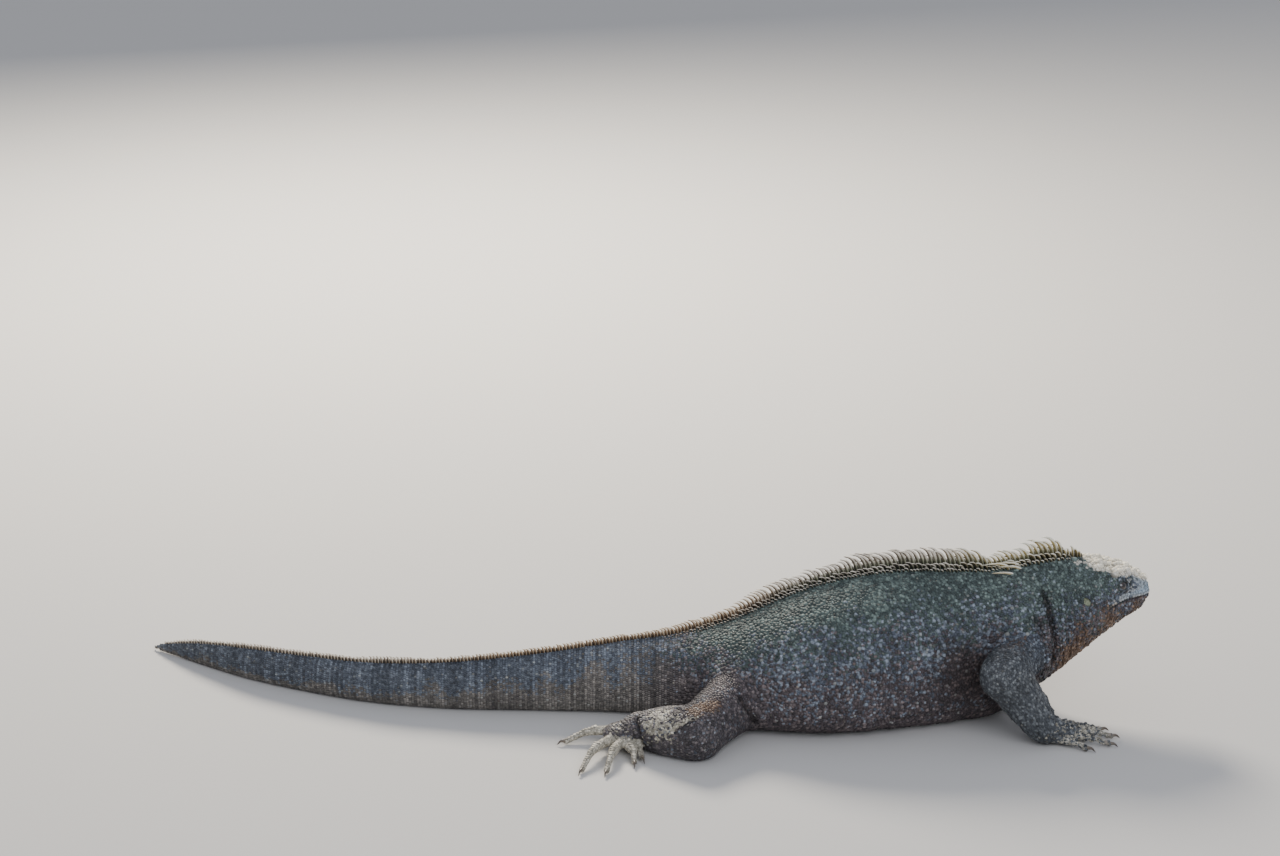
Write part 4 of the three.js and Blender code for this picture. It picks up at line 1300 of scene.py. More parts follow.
def crest_material():
    """Horny spines: pale cream on the nape, grey on the back and tan over the hips and tail, with a painted
    highlight along their front edges and painted shade at their roots.
    """
    tree = material("crest spines", roughness=0.5, specular=0.4)
    place = tree.add("ShaderNodeTexCoord").outputs["Object"]
    cream, tan, share = read_three(tree, "spine")
    tone, moss = read(tree, "tone"), read(tree, "moss")
    fine = noise(tree, place, 500, 3, 0.6)
    streak = noise(tree, place, 140, 2)
    # A painted highlight along the front edge of each spine.
    rim = between(tree, read(tree, "rim"), 0.35, 0.95)
    mixed = plus(tree, times(tree, tone, 0.34), times(tree, streak, 0.3), times(tree, rim, 0.36))
    mixed = plus(tree, mixed, times(tree, share, 0.2))
    colour = ramp(tree, mixed, (0.3, "23211f"), (0.52, "706a5f"), (0.76, "eee8da"))
    colour = blend(tree, tan, colour, ramp(tree, mixed, (0.3, "33251a"), (0.53, "8c6c49"), (0.78, "f2dcba")))
    creamy = ramp(tree, mixed, (0.3, "3a321d"), (0.52, "ad9a62"), (0.74, "fdf8e4"))
    colour = blend(tree, cream, colour, creamy)
    green = ramp(tree, mixed, (0.3, "252a20"), (0.53, "60674a"), (0.8, "b8bd94"))
    mossy = times(tree, moss, between(tree, share, 0.1, 0.5, 0.75, 0.0))
    colour = blend(tree, mossy, colour, green)
    # Painted shade at the roots of the spines.
    root = between(tree, share, 0.0, 0.4, 0.45, 1.0)
    light = times(tree, between(tree, fine, 0.25, 0.75, 0.8, 1.12), root)
    tree.link(dimmed(tree, colour, light), tree.shader.inputs["Base Color"])
    bumped(tree, plus(tree, fine, streak), 0.5, 0.0005)
    return tree.material


def claw_material():
    """Dark horn, a little paler at its root, with fine streaks along it."""
    tree = material("claw horn", roughness=0.32, specular=0.5)
    place = tree.add("ShaderNodeTexCoord").outputs["Object"]
    fine = noise(tree, place, 700, 3)
    along = plus(tree, read(tree, "share"), times(tree, fine, 0.35))
    base = ramp(tree, along, (0.15, "a0978a"), (0.55, "7c7265"), (1.0, "554c43"))
    tree.link(base, tree.shader.inputs["Base Color"])
    bumped(tree, fine, 0.25, 0.0003)
    return tree.material


def eye_material():
    """A dark brown iris with a round pupil under a wet surface."""
    tree = material("wet eye", roughness=0.12, specular=0.6)
    tree.shader.inputs["Coat Weight"].default_value = 1.0
    tree.shader.inputs["Coat Roughness"].default_value = 0.03
    place = tree.add("ShaderNodeTexCoord").outputs["Object"]
    fine = noise(tree, place, 900, 3)
    ragged = times(tree, number(tree, "SUBTRACT", fine, 0.5), 0.08)
    pupil = (0.0, "050404"), (0.2, "060505")
    iris = (0.24, "24170f"), (0.38, "38261a"), (0.5, "17100b"), (0.62, "0f0b09")
    base = ramp(tree, plus(tree, read(tree, "gaze"), ragged), *pupil, *iris)
    tree.link(base, tree.shader.inputs["Base Color"])
    return tree.material


# The skin

SKIN_TONE = 0.42  # how light the bare skin is among the scales, which have tones from 0 to 1
SKIN_TIP = 0.55  # and how far out of their gaps it counts as


def make_skin():
    """The skin over all the flesh, and where each of its points belongs."""
    mesh = mesh_of("skin", *coarse_skin())
    settle_mesh(mesh)
    finer(mesh, fine_region)
    settle_mesh(mesh)
    finer(mesh, finest_region)
    settle_mesh(mesh, rounds=2)
    places = Places(points_of(mesh))
    count = len(places.points)
    give(mesh, tone=np.full(count, SKIN_TONE), tip=np.full(count, SKIN_TIP), **places.markings())
    mesh.materials.append(skin_material)
    return mesh, places


flesh = [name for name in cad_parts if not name.startswith(("claw_", "eye"))]
skin_mesh, skin_places = make_skin()
skin = piece_of("skin", skin_mesh, "skin", *flesh)


# Scales

PATCH = 0.003  # how much of the map OFBake each scale takes
STRAY = 0.25  # how far off the skin the root of a scale is put back onto it
LOST = 0.8  # and how far off it is left out
NEIGHBOURS = 5  # how many neighbours of a scale tell its room
OVERLAP = 1.2  # the width of a scale for each unit of its room
FLOOR_ZONE = 2.5  # the level under which scales are kept low
WHORL = 3.0  # the length of a whorl of scales round the tail
TAIL_WIDTHS = (2.1, 2.5)  # the width of its scales, at the tip and at the base
LID_ROWS = 3.4  # how far the rows of small scales reach round the opening of an eye
LIP_ROWS = [(2.5, 3.8, 3.1), (-2.5, 4.2, 3.1), (5.5, 3.3, 3.0)]  # height over the mouth, length, width
CONE_SIZES = [0.75, 0.95, 1.1, 1.4]
TOE_PLATE = 3.4  # the length of the broad plates over the toes


def named(tree, name, kind="FLOAT_VECTOR"):
    """A named value of the points that a geometry tree works on."""
    return tree.add("GeometryNodeInputNamedAttribute", {"Name": name}, data_type=kind).outputs[0]


def spreading_tree():
    """Spreads points over the parts of a surface where its value grow is over a half."""
    tree = group_tree(
        "spread over skin",
        "GeometryNodeTree",
        {
            "Geometry": ("NodeSocketGeometry", None),
            "Spacing": ("NodeSocketFloat", 0.003),
            "Seed": ("NodeSocketInt", 0),
        },
        {"Geometry": "NodeSocketGeometry"},
    )
    grow = named(tree, "grow", "FLOAT")
    chosen = tree.add("FunctionNodeCompare", {0: grow, 1: 0.5}, operation="GREATER_THAN").outputs[0]
    spread = tree.add(
        "GeometryNodeDistributePointsOnFaces",
        {
            "Mesh": tree.inputs["Geometry"],
            "Selection": chosen,
            "Distance Min": tree.inputs["Spacing"],
            "Density Max": 1.2e6,
            "Seed": tree.inputs["Seed"],
        },
        distribute_method="POISSON",
    )
    points = tree.add("GeometryNodePointsToVertices", {"Points": spread.outputs["Points"]})
    tree.link(points.outputs[0], tree.outputs["Geometry"])
    return tree.tree


def growing_tree():
    """Puts a scale on every point, turned by its lie and out and sized by its size, and lays each one
    out as a small patch of the map OFBake about the place that spot gives."""
    tree = group_tree(
        "grow scales",
        "GeometryNodeTree",
        {
            "Geometry": ("NodeSocketGeometry", None),
            "Shape": ("NodeSocketObject", None),
            "Patch": ("NodeSocketFloat", PATCH),
            "Finish": ("NodeSocketMaterial", None),
        },
        {"Geometry": "NodeSocketGeometry"},
    )

    shape = tree.add("GeometryNodeObjectInfo", {"Object": tree.inputs["Shape"]})
    turn = tree.add(
        "FunctionNodeAxesToRotation",
        {0: named(tree, "out"), 1: named(tree, "lie")},
        primary_axis="Z",
        secondary_axis="X",
    )
    grown = tree.add(
        "GeometryNodeInstanceOnPoints",
        {
            "Points": tree.inputs["Geometry"],
            "Instance": shape.outputs["Geometry"],
            "Rotation": turn.outputs[0],
            "Scale": named(tree, "size"),
        },
    )
    plain = tree.add("GeometryNodeRealizeInstances", {"Geometry": grown.outputs[0]})
    within = {0: named(tree, "local"), "Scale": tree.inputs["Patch"]}
    patch = tree.add("ShaderNodeVectorMath", within, operation="SCALE")
    where = tree.add("ShaderNodeVectorMath", {0: patch.outputs[0], 1: named(tree, "spot")}, operation="ADD")
    made = tree.add(
        "GeometryNodeStoreNamedAttribute",
        {"Geometry": plain.outputs[0], "Name": "OFBake", "Value": where.outputs[0]},
        data_type="FLOAT2",
        domain="CORNER",
    ).outputs[0]
    for name in ("out", "lie", "size", "local", "spot"):
        made = tree.add("GeometryNodeRemoveAttribute", {"Geometry": made, "Name": name}).outputs[0]
    made = tree.add("GeometryNodeSetMaterial", {"Geometry": made, "Material": tree.inputs["Finish"]})
    tree.link(made.outputs[0], tree.outputs["Geometry"])
    return tree.tree


spread_over_skin = spreading_tree()
grow_scales = growing_tree()


def scale_shape(name, rings, top, around, turn=0.0, square=2.0, tilt=0.0):
    """A scale one unit long, wide and high. Each ring has a share of the width, a level, and how far
    it is moved towards the free end; top is the level and the move of the point of the scale. Tilt
    raises the free end and sinks the other."""
    points, tips = [], []
    for share, level, move in rings:
        for i in range(around):
            angle = 2 * math.pi * (i + turn) / around
            c, s = math.cos(angle), math.sin(angle)
            reach = 0.5 * share / (abs(c) ** square + abs(s) ** square) ** (1 / square)
            points.append((c * reach + move, s * reach, level + tilt * c * reach * (level > 0)))
            tips.append(max(level, 0))
    points.append((top[1], 0, top[0]))
    tips.append(max(top[0], 0))
    faces = tube_faces(0, around, len(rings))
    points = np.array(points, float)
    mesh = bpy.data.meshes.new(name)
    mesh.from_pydata(points.tolist(), [], faces)
    mesh.polygons.foreach_set("use_smooth", [True] * len(faces))
    give(mesh, tip=np.array(tips), local=points * vec(1, 1, 0))
    return placed(name, mesh)


granule = scale_shape("granule", [(1.06, -0.35, 0), (0.82, 0.5, 0.05)], (1.0, 0.14), 6, tilt=0.5)
lapped = scale_shape("lapped scale", [(1.06, -0.4, 0), (0.88, 0.45, 0.08)], (0.95, 0.26), 6, tilt=1.1)
keeled = scale_shape("keeled scale", [(1.02, -0.4, 0), (0.9, 0.45, 0.05)], (1.05, 0.28), 8, 0.5, 5.0, 0.9)
cone_rings = [(1.04, -0.3, 0), (0.9, 0.3, -0.01), (0.6, 0.74, -0.04)]
cone = scale_shape("salt cone", cone_rings, (1.06, -0.12), 8, 0.3)
plate_rings = [(1.0, -0.4, 0), (0.93, 0.45, 0), (0.66, 0.88, 0.01)]
plate = scale_shape("plate", plate_rings, (1.0, 0.02), 8, 0.5, 4.5)


class Coat:
    """Scales gathered for one piece."""

    def __init__(self, name, shape, seed):
        self.name, self.shape = name, shape
        self.random = np.random.default_rng(seed)

    def spread(self, grow, spacing):
        """Spreads places over the skin where grow, a value for each of its points, is over a half."""
        give(skin_mesh, grow=grow.astype(float))
        mesh = evaluated(skin, spread_over_skin, Spacing=spacing * MM, Seed=int(self.random.integers(9999)))
        points = points_of(mesh)
        bpy.data.meshes.remove(mesh)
        return points

    def piece(self, points, size, lie=None, spot=None, sink=0.15, streak=None):
        """Grows the scales. Size is the length, width and height of each one, in millimetres."""
        points, out = settle(points, 2)
        missed = np.nonzero(np.abs(body_distance(points)) > STRAY)[0]
        for _ in range(3):
            points[missed], out[missed] = settle(points[missed], 1, 0.9)
        places = Places(points)
        held = np.abs(body_distance(points)) < LOST
        lie = places.lie if lie is None else lie
        lie = unit(lie - (lie * out).sum(1)[:, None] * out)
        spot = places.spot if spot is None else spot
        low, high = spot[held].min(0), spot[held].max(0)
        spot = 0.005 + 0.99 * (spot - low) / (high - low)
        rooted = points - out * (size[:, 2] * sink)[:, None]
        mesh = bpy.data.meshes.new(self.name)
        mesh.from_pydata((rooted[held] * MM).tolist(), [], [])
        values = dict(out=out, lie=lie, size=size * MM, spot=np.column_stack([spot, np.zeros(len(spot))]))
        values.update(tone=self.random.uniform(0, 1, len(points)), **places.markings())
        if streak is not None:
            values["streak"] = streak
        give(mesh, **{name: value[held] for name, value in values.items()})
        holder = placed("roots", mesh)
        grown = evaluated(holder, grow_scales, Shape=self.shape, Patch=PATCH, Finish=scale_material)
        bpy.data.objects.remove(holder)
        grown.name = self.name
        return piece_of(self.name, grown, "skin")


def tree_of(points):
    """The points in a tree that finds the neighbours of a place."""
    tree = kdtree.KDTree(len(points))
    for i, point in enumerate(points):
        tree.insert(point, i)
    tree.balance()
    return tree


def thinned(points, room):
    """Which points stay when each one clears the room about it, in their order."""
    tree, stays = tree_of(points), np.ones(len(points), bool)
    for i, point in enumerate(points):
        if stays[i]:
            for _, other, gap in tree.find_range(point, float(room[i])):
                if other > i and gap < 0.5 * (room[i] + room[other]):
                    stays[other] = False
    return stays


def near_spacing(points, low, high):
    """How far each point's nearest neighbours are, on average."""
    tree = tree_of(points)
    found = [tree.find_n(point, NEIGHBOURS + 1)[1:] for point in points]
    gaps = [sum(gap for _, _, gap in nearest) / NEIGHBOURS for nearest in found]
    return np.clip(gaps, low, high)


def tail_scales():
    """Whorls of keeled scales round the tail, each whorl a little lighter or darker than the next."""
    angles = np.linspace(-math.pi, math.pi, 241)
    base = track.at_x(TAIL_TO + 6)
    for name, seed, low, high in (("tail_tip_scales", 21, 14, 350), ("tail_scales", 22, 350, base)):
        coat = Coat(name, keeled, seed)
        rows, sizes, streaks = [], [], []
        for distance in np.arange(low, high, WHORL):
            ring = trunk_point(distance, angles)
            round_ = along_line(ring)
            fit = mix(*TAIL_WIDTHS, smooth(distance, 0, 260))
            count = max(6, round(round_[-1] / fit))
            start = coat.random.uniform()
            stops = (np.arange(count) + start + coat.random.uniform(-0.12, 0.12, count)) / count
            turn = np.interp(np.mod(stops, 1) * round_[-1], round_, angles)
            rows.append(trunk_point(distance + coat.random.uniform(-0.2, 0.2, count), turn))
            wide = np.full(count, round_[-1] / count * 1.05)
            sizes.append(np.column_stack([np.full(count, WHORL * 1.12), wide, np.full(count, 0.95)]))
            light = coat.random.uniform(0.02, 0.86) + 0.16 * smooth(distance, 420, 500)
            streaks.append(np.clip(light + coat.random.uniform(-0.12, 0.12, count), 0, 1))
        points, sizes = np.concatenate(rows), np.concatenate(sizes)
        sizes[:, 2] *= coat.random.uniform(0.7, 1.25, len(points))
        sizes[:, 2] = np.where(points[:, 2] < 6, 0.55, sizes[:, 2])
        coat.piece(points, sizes, streak=np.concatenate(streaks))


def spread_scales(
    name, shape, seed, grow, spacing, height, keep=None, length=1.1, legs=False, room=None, most=2.6
):
    """Scales spread over part of the skin, each sized by the room it has. Spacing is the least room, most
    how many times that the largest scale is, and height and length are for each unit of width. Keep
    says which places stay, and room gives what each place wants. Legs lays their map along the legs."""
    coat = Coat(name, shape, seed)
    points = coat.spread(grow, spacing)
    coat.random.shuffle(points)
    if room is not None:
        points = points[thinned(points, room(Places(points), coat.random))]
    if keep is not None:
        points = points[keep(Places(points))]
    places = Places(points)
    wide = near_spacing(points, spacing * 0.95, spacing * most)
    size = np.column_stack([wide * length * OVERLAP, wide * OVERLAP, wide * height])
    size[:, 2] *= coat.random.uniform(0.75, 1.3, len(points))
    size[:, 2] = np.where(points[:, 2] < FLOOR_ZONE, np.minimum(size[:, 2], 0.6), size[:, 2])
    return coat.piece(points, size, spot=places.leg_spot if legs else None)


def flank_room(places, random):
    """Small scales, all much alike."""
    return random.uniform(2.15, 2.9, len(places.points))


def neck_room(places, random):
    """Small scales with larger ones strewn among them."""
    large = random.uniform(0, 1, len(places.points)) < 0.12
    return np.where(large, 3.9, random.uniform(1.9, 2.7, len(places.points)))


def head_room(places, random):
    """Large scales on the cheeks, temples and snout, small ones by the eyes, ears and lips."""
    room = 2.0 + 1.0 * bump(places.section, 252, 24) * (1 - smooth(np.abs(places.up + 0.15), 0.3, 0.8))
    room = room + 0.8 * smooth(places.section, 290, 306) + 0.5 * smooth(places.up, 0.4, 0.8)
    for feature, reach in [(eye, 17) for eye in eyes] + [(ear, 11) for ear in ears]:
        gap = np.linalg.norm(places.points - feature.place, axis=1)
        room = np.minimum(room, mix(1.35, 4, smooth(gap, 0.4 * reach, 1.6 * reach)))
    return room * random.uniform(0.78, 1.25, len(places.points))


def clear_of_head_details(places):
    """Which places lie clear of the lids, ears, nostrils and lips."""
    points = places.points
    keep = np.ones(len(points), bool)
    lids = OPENING[0] + LID_ROWS, OPENING[1] + LID_ROWS
    for eye in eyes:
        size, near = eye.spans(points, lids, LIDS_DEEP)
        keep &= ~((size < 1.0) & near)
    for ear in ears:
        size, near = ear.spans(points, EAR_SIZE, EAR_DEEP, EAR_LEAN)
        keep &= ~((size < 1.1) & near)
    for nostril in nostrils:
        size, near = nostril.spans(points, NOSTRIL_SIZE, NOSTRIL_DEEP)
        keep &= ~((size < 3.8) & near)
    keep &= ~((places.off > -4.2) & (places.off < 6.9) & (places.parted > 0.1))
    return keep


def lid_scales():
    """Rows of small scales round the opening of each eye."""
    coat = Coat("lid_scales", granule, 55)
    points, sizes = [], []
    for eye in eyes:
        for gap, size in ((0.75, 1.15), (1.9, 1.3), (3.2, 1.5)):
            long, high = OPENING[0] + gap, OPENING[1] + gap
            count = round(2 * math.pi * math.sqrt((long**2 + high**2) / 2) / (size * 0.98))
            for i in range(count):
                turn = 2 * math.pi * (i + gap) / count
                ahead = long * math.cos(turn)
                over = high * math.sin(turn) - BEND * ahead**2 + SLANT * ahead
                points.append(eye.place + eye.ahead * ahead + eye.over * over + eye.out * 2)
                sizes.append([size * 1.05, size * 1.05, size * 0.42])
    points, _ = settle(np.array(points), 4, 3)
    coat.piece(points, np.array(sizes))


def crown_scutes():
    """Tall cones crusted with salt over the crown and the snout."""
    coat = Coat("crown_scutes", cone, 51)
    random = coat.random
    points, sizes = [], []
    for low, high, angle, step, radius, height in CONES:
        rows = round((high - low) / (step * 0.88))
        for row in range(rows + 1):
            x = mix(low, high, row / rows)
            distance = track.at_x(x)
            edge = trunk_point(distance, math.radians(angle))
            top = trunk_point(distance, math.pi / 2)
            count = max(1, round(2 * np.linalg.norm(top - edge) / step))
            for i in range(count + 1):
                share = (i + 0.5 * (row % 2)) / count
                if share > 1:
                    continue
                turn = mix(angle, 180 - angle, share) + random.uniform(-2, 2)
                scale = random.choice(CONE_SIZES) * random.uniform(0.9, 1.1)
                points.append(trunk_point(distance + random.uniform(-0.8, 0.8), math.radians(turn)))
                long = 2 * radius * scale
                sizes.append([long, long * random.uniform(0.85, 1.1), height * scale])
    points, sizes = np.array(points), np.array(sizes)
    points, _ = settle(points, 2, 6)
    clear = ~near_any(points, [eye.place for eye in eyes], 11.5)
    clear &= ~near_any(points, [nostril.place for nostril in nostrils], 6.8)
    clear &= Places(points).markings()["crown"] > 0.4
    coat.piece(points[clear], sizes[clear], sink=0.1)


def lip_plates():
    """Rows of oblong plates along both lips."""
    coat = Coat("lip_plates", plate, 52)
    points, sizes = [], []
    stops = np.linspace(track.at_x(MOUTH[0][0] + 1), track.end - 0.3, 90)
    (level,) = mouth.at(track.read(stops, "x")[0]).T
    for side in (0, 1):
        for over, long, high in LIP_ROWS:
            angle = 0.04 * over
            line = trunk_point(stops, math.pi - angle if side else angle)
            line[:, 2] = level + over
            for _ in range(3):
                line, _ = settle(line, 2, 4)
                line[:, 2] = level + over
            along = along_line(line)
            at = np.arange(long / 2, along[-1], long)
            points.append(np.column_stack([np.interp(at, along, line[:, axis]) for axis in range(3)]))
            sizes.append(np.tile([long * 1.03, high, 0.95], (len(at), 1)))
    coat.piece(np.concatenate(points), np.concatenate(sizes), sink=0.2)


def toe_tops():
    """The places of the plates over each toe, the way they lie, and their widths."""
    points, lies, widths = [], [], []
    for leg in LEGS.values():
        for line, radii in leg["lines"]:
            lengths = along_line(line)
            table = Table(np.column_stack([lengths, line, radii]))
            for along in np.arange(lengths[3], lengths[-1] + 2, TOE_PLATE):
                x, y, z, radius = table.at(np.array(along))
                before, after = table.at(np.array(along - 3.0)), table.at(np.array(along + 1.0))
                points.append([x, y, z + radius])
                lies.append(unit(after[:3] - before[:3]))
                widths.append(radius * 1.15)
    points, out = settle(np.array(points), 3, 4)
    top = out[:, 2] > 0.6
    return points[top], np.array(lies)[top], np.array(widths)[top]


def toe_plates():
    """A row of broad plates over each toe."""
    coat = Coat("toe_plates", keeled, 54)
    points, lies, widths = toe_tops()
    sizes = np.column_stack([np.full(len(points), TOE_PLATE * 1.12), widths, np.full(len(points), 0.75)])
    coat.piece(points, sizes, lie=lies, spot=Places(points).leg_spot)


def clear_of_toe_plates(places):
    """Which places lie clear of the plates over the toes."""
    points, _, widths = toe_tops()
    tree = tree_of(points)
    found = [tree.find(point) for point in places.points]
    return np.array([gap > 0.42 * widths[i] for _, i, gap in found])


def jowl_scales():
    """Large round scales on the cheek under the ear."""
    coat = Coat("jowl_scales", granule, 53)
    points, sizes = [], []
    for side in (0, 1):
        for x, angle, size in JOWL:
            turn = math.radians(180 - angle if side else angle)
            points.append(trunk_point(track.at_x(x), turn))
            sizes.append([size, size, size * 0.34])
    points, _ = settle(np.array(points), 3, 6)
    coat.piece(points, np.array(sizes), sink=0.1)


def all_scales():
    """Every piece of the coat, in the order of its random draws."""
    crown_scutes()
    lip_plates()
    lid_scales()
    jowl_scales()
    tail_scales()
    places = skin_places
    x, y, _ = places.points.T
    on_leg = places.on_leg > 0.5
    trunk = ~on_leg & (x > TAIL_TO) & (x <= NECK_FROM)
    for name, seed, side in (("right", 31, y < 0), ("left", 32, y >= 0)):
        spread_scales("flank_scales_" + name, granule, seed, trunk & side, 2.15, 0.32, room=flank_room)
    neck = ~on_leg & (x > NECK_FROM) & (x <= HEAD_FROM)
    spread_scales("neck_scales", granule, 33, neck, 1.9, 0.36, room=neck_room)
    head = ~on_leg & (x > HEAD_FROM)
    spread_scales("head_scales", granule, 34, head, 1.25, 0.3, clear_of_head_details, room=head_room)
    limbs = on_leg & (places.share < 3.0)
    spread_scales("front_leg_scales", lapped, 35, limbs & (x > 0), 2.2, 0.26, length=1.3, legs=True)
    spread_scales("hind_leg_scales", lapped, 36, limbs & (x <= 0), 2.3, 0.26, length=1.3, legs=True)
    toes = on_leg & (places.share >= 3.0)
    spread_scales("toe_scales", granule, 37, toes, 1.5, 0.15, clear_of_toe_plates, legs=True, most=1.35)
    toe_plates()


all_scales()


# Crest


class Spines:
    """Spines gathered for the crest, with what their colours ask about them."""

    def __init__(self):
        self.points, self.faces = [], []
        self.marks, self.tones, self.moss, self.rims, self.spots = [], [], [], [], []

    def grow(self, root, ahead, aside, tall, back, sway, wide, deep, colour, spot, around=8, levels=8):
        """One spine: a blade that stands on its root and bends backwards to its tip. Back and sway are
        how far it leans for each unit of its height, wide and deep its half length and half thickness
        at the root, and spot its place on the map OFBake. Colour holds how cream, how tan, its tone
        and how mossy it is at the foot."""
        up = vec(0, 0, 1)

        def middle(level):
            bend, rest = level * level, 2 * level * (1 - level)
            behind = tall * back * (0.04 * rest + 1.12 * bend)
            straight = root + up * tall * (1.02 * rest + 0.96 * bend) - ahead * behind
            return straight + aside * sway * tall * level**1.5

        first = len(self.points)
        for ring in range(levels):
            level = 0.94 * ring / (levels - 1)
            along = unit(middle(level + 0.02) - middle(level))
            fore = unit(ahead - along * (ahead @ along))
            side = np.cross(fore, along)
            long = wide * (1 - 0.05 * level - 0.78 * level**2)
            thick = deep * (1 - 0.75 * level**2)
            centre = middle(level) - (up * 4 if ring == 0 else 0)
            for i in range(around):
                angle = 2 * math.pi * i / around
                self.points.append(centre + fore * long * math.cos(angle) + side * thick * math.sin(angle))
                self.spots.append(spot + 0.0015 * vec(math.cos(angle), math.sin(angle)) * (1 - level))
                # How much of the painted highlight each point takes: most along the front edge.
                self.rims.append(0.5 + 0.5 * math.cos(angle))
        self.points.append(middle(1.0))
        self.rims.append(1.0)
        self.spots.append(spot)
        self.faces += tube_faces(first, around, levels, clockwise=True)
        self.faces.append(tuple(range(first, first + around)))
        shares = np.repeat(np.linspace(0, 0.94, levels), around).tolist() + [1.0]
        cream, tan, tone, moss = colour
        self.marks.extend((cream, tan, share) for share in shares)
        self.tones.extend([tone] * len(shares))
        self.moss.extend([moss] * len(shares))


def crest_frame(x):
    """The top of the trunk, the ways forward and to the right, and the share of the way along."""
    distance = track.at_x(x)
    fx, fy = track.read(distance, "fx", "fy")
    return trunk_point(distance, math.pi / 2), vec(fx, fy, 0), vec(fy, -fx, 0), distance / track.end


class Crest:
    """The spines over the spine of the back, with rows of small ones at their foot."""

    def __init__(self):
        self.random = np.random.default_rng(41)
        self.table, self.spines = Table(CREST), Spines()

    def colours(self, x, low=0.5, high=1.0, dulled=1.0):
        """The colour of a spine at x, with a random tone from low to high."""
        cream = float(smooth(x, 85, 165)) * dulled
        tan = float(1 - 0.75 * smooth(x, -150, -40)) * float(0.5 + 0.5 * smooth(x, -520, -330)) * dulled
        moss = float(smooth(x, -110, -30) * (1 - smooth(x, 205, 235)))
        return cream, tan, self.random.uniform(low, high), moss

    def tall_row(self):
        """The long spines, each with a shorter one after it, painted darker as painted shade in the gap
        behind the long one.
        """
        random, grow = self.random, self.spines.grow
        clump, drift = Waves(42, 55), Waves(43, 24)
        x = CREST[0][0] + 1
        while x < CREST[-1][0]:
            height, lean, half, thick, gap = self.table.at(np.array(float(x)))
            crown, ahead, aside, share = crest_frame(x)
            wave, turn = clump.at(vec(x, 0, 0)), drift.at(vec(x, 90, 0))
            tall = (height + 0.8) * (0.93 + 0.1 * wave + random.uniform(-0.12, 0.1))
            loose = float(smooth(x, -150, 60))
            sway = loose * (0.08 + 0.16 * drift.at(vec(x, 40, 0))) + random.uniform(-0.07, 0.07)
            back = lean * (1 + 0.2 * turn) + random.uniform(-0.08, 0.08)
            spot = vec(0.01 + 0.98 * share, 0.5)
            grow(crown, ahead, aside, tall, back, sway, half, thick * 1.3, self.colours(x), spot)
            step = gap * random.uniform(0.85, 1.15)
            crown, ahead, aside, share = crest_frame(x + step / 2)
            spot = vec(0.01 + 0.98 * share, 0.47)
            # The shorter spine is painted darker, as painted shade in the gap.
            dark = self.colours(x, 0.0, 0.25, 0.5)
            grow(crown, ahead, aside, tall * 0.62, back, sway * 0.7, half * 0.9, thick * 0.7, dark, spot)
            x += step

    def foot_rows(self):
        """The small spines on both sides of the long ones."""
        random = self.random
        roots, rest = [], []
        for row, (out, part) in enumerate(FOOT_ROWS):
            for side in (-1, 1):
                x = FOOT_FROM + 2 * row
                while x < FOOT_TO:
                    height, lean, half, _, gap = self.table.at(np.array(float(x)))
                    crown, ahead, aside, share = crest_frame(x)
                    tall = (0.8 + part * height) * random.uniform(0.7, 1.25) * float(smooth(x, -225, -150))
                    wide = mix(0.85, 0.6, row) * half
                    roots.append(crown + aside * side * (out + random.uniform(-0.6, 0.6)) - vec(0, 0, 0.5))
                    spot = vec(0.01 + 0.98 * share, 0.5 + side * (0.02 + 0.01 * row))
                    sway = side * random.uniform(0.1, 0.5)
                    dull = self.colours(x, 0.0, 0.5, 0.6 - 0.2 * row)
                    rest.append((ahead, aside, tall, lean * 1.1, sway, wide, wide * 0.6, dull, spot))
                    x += gap * mix(1.0, 0.8, row) * random.uniform(0.8, 1.2)
        roots, _ = settle(np.array(roots), 3, 4)
        for root, values in zip(roots, rest):
            self.spines.grow(root, *values, around=6, levels=5)

    def fallen(self):
        for x, y, z, turn in FALLEN:
            ahead = unit(vec(1, 0.12 * turn, 0.1))
            aside = unit(np.cross(vec(0, 0, 1), ahead))
            colour = (1, 0, self.random.uniform(0.75, 1), 0)
            spot = vec(0.9, 0.45 + 0.02 * turn)
            self.spines.grow(vec(x, y, z), ahead, aside, 8, 3.0, 0.4 * turn, 1.9, 1.7, colour, spot)

    def piece(self):
        self.tall_row()
        self.foot_rows()
        self.fallen()
        spines = self.spines
        mesh = mesh_of("crest", np.array(spines.points), spines.faces)
        give(mesh, spine=np.array(spines.marks), tone=spines.tones, moss=spines.moss, rim=spines.rims)
        corners = np.empty(len(mesh.loops), int)
        mesh.loops.foreach_get("vertex_index", corners)
        layer = mesh.uv_layers.new(name="OFBake")
        layer.data.foreach_set("uv", np.array(spines.spots)[corners].ravel())
        mesh.materials.append(crest_material())
        return piece_of("crest", mesh, "crest")


Crest().piece()


# Eyes


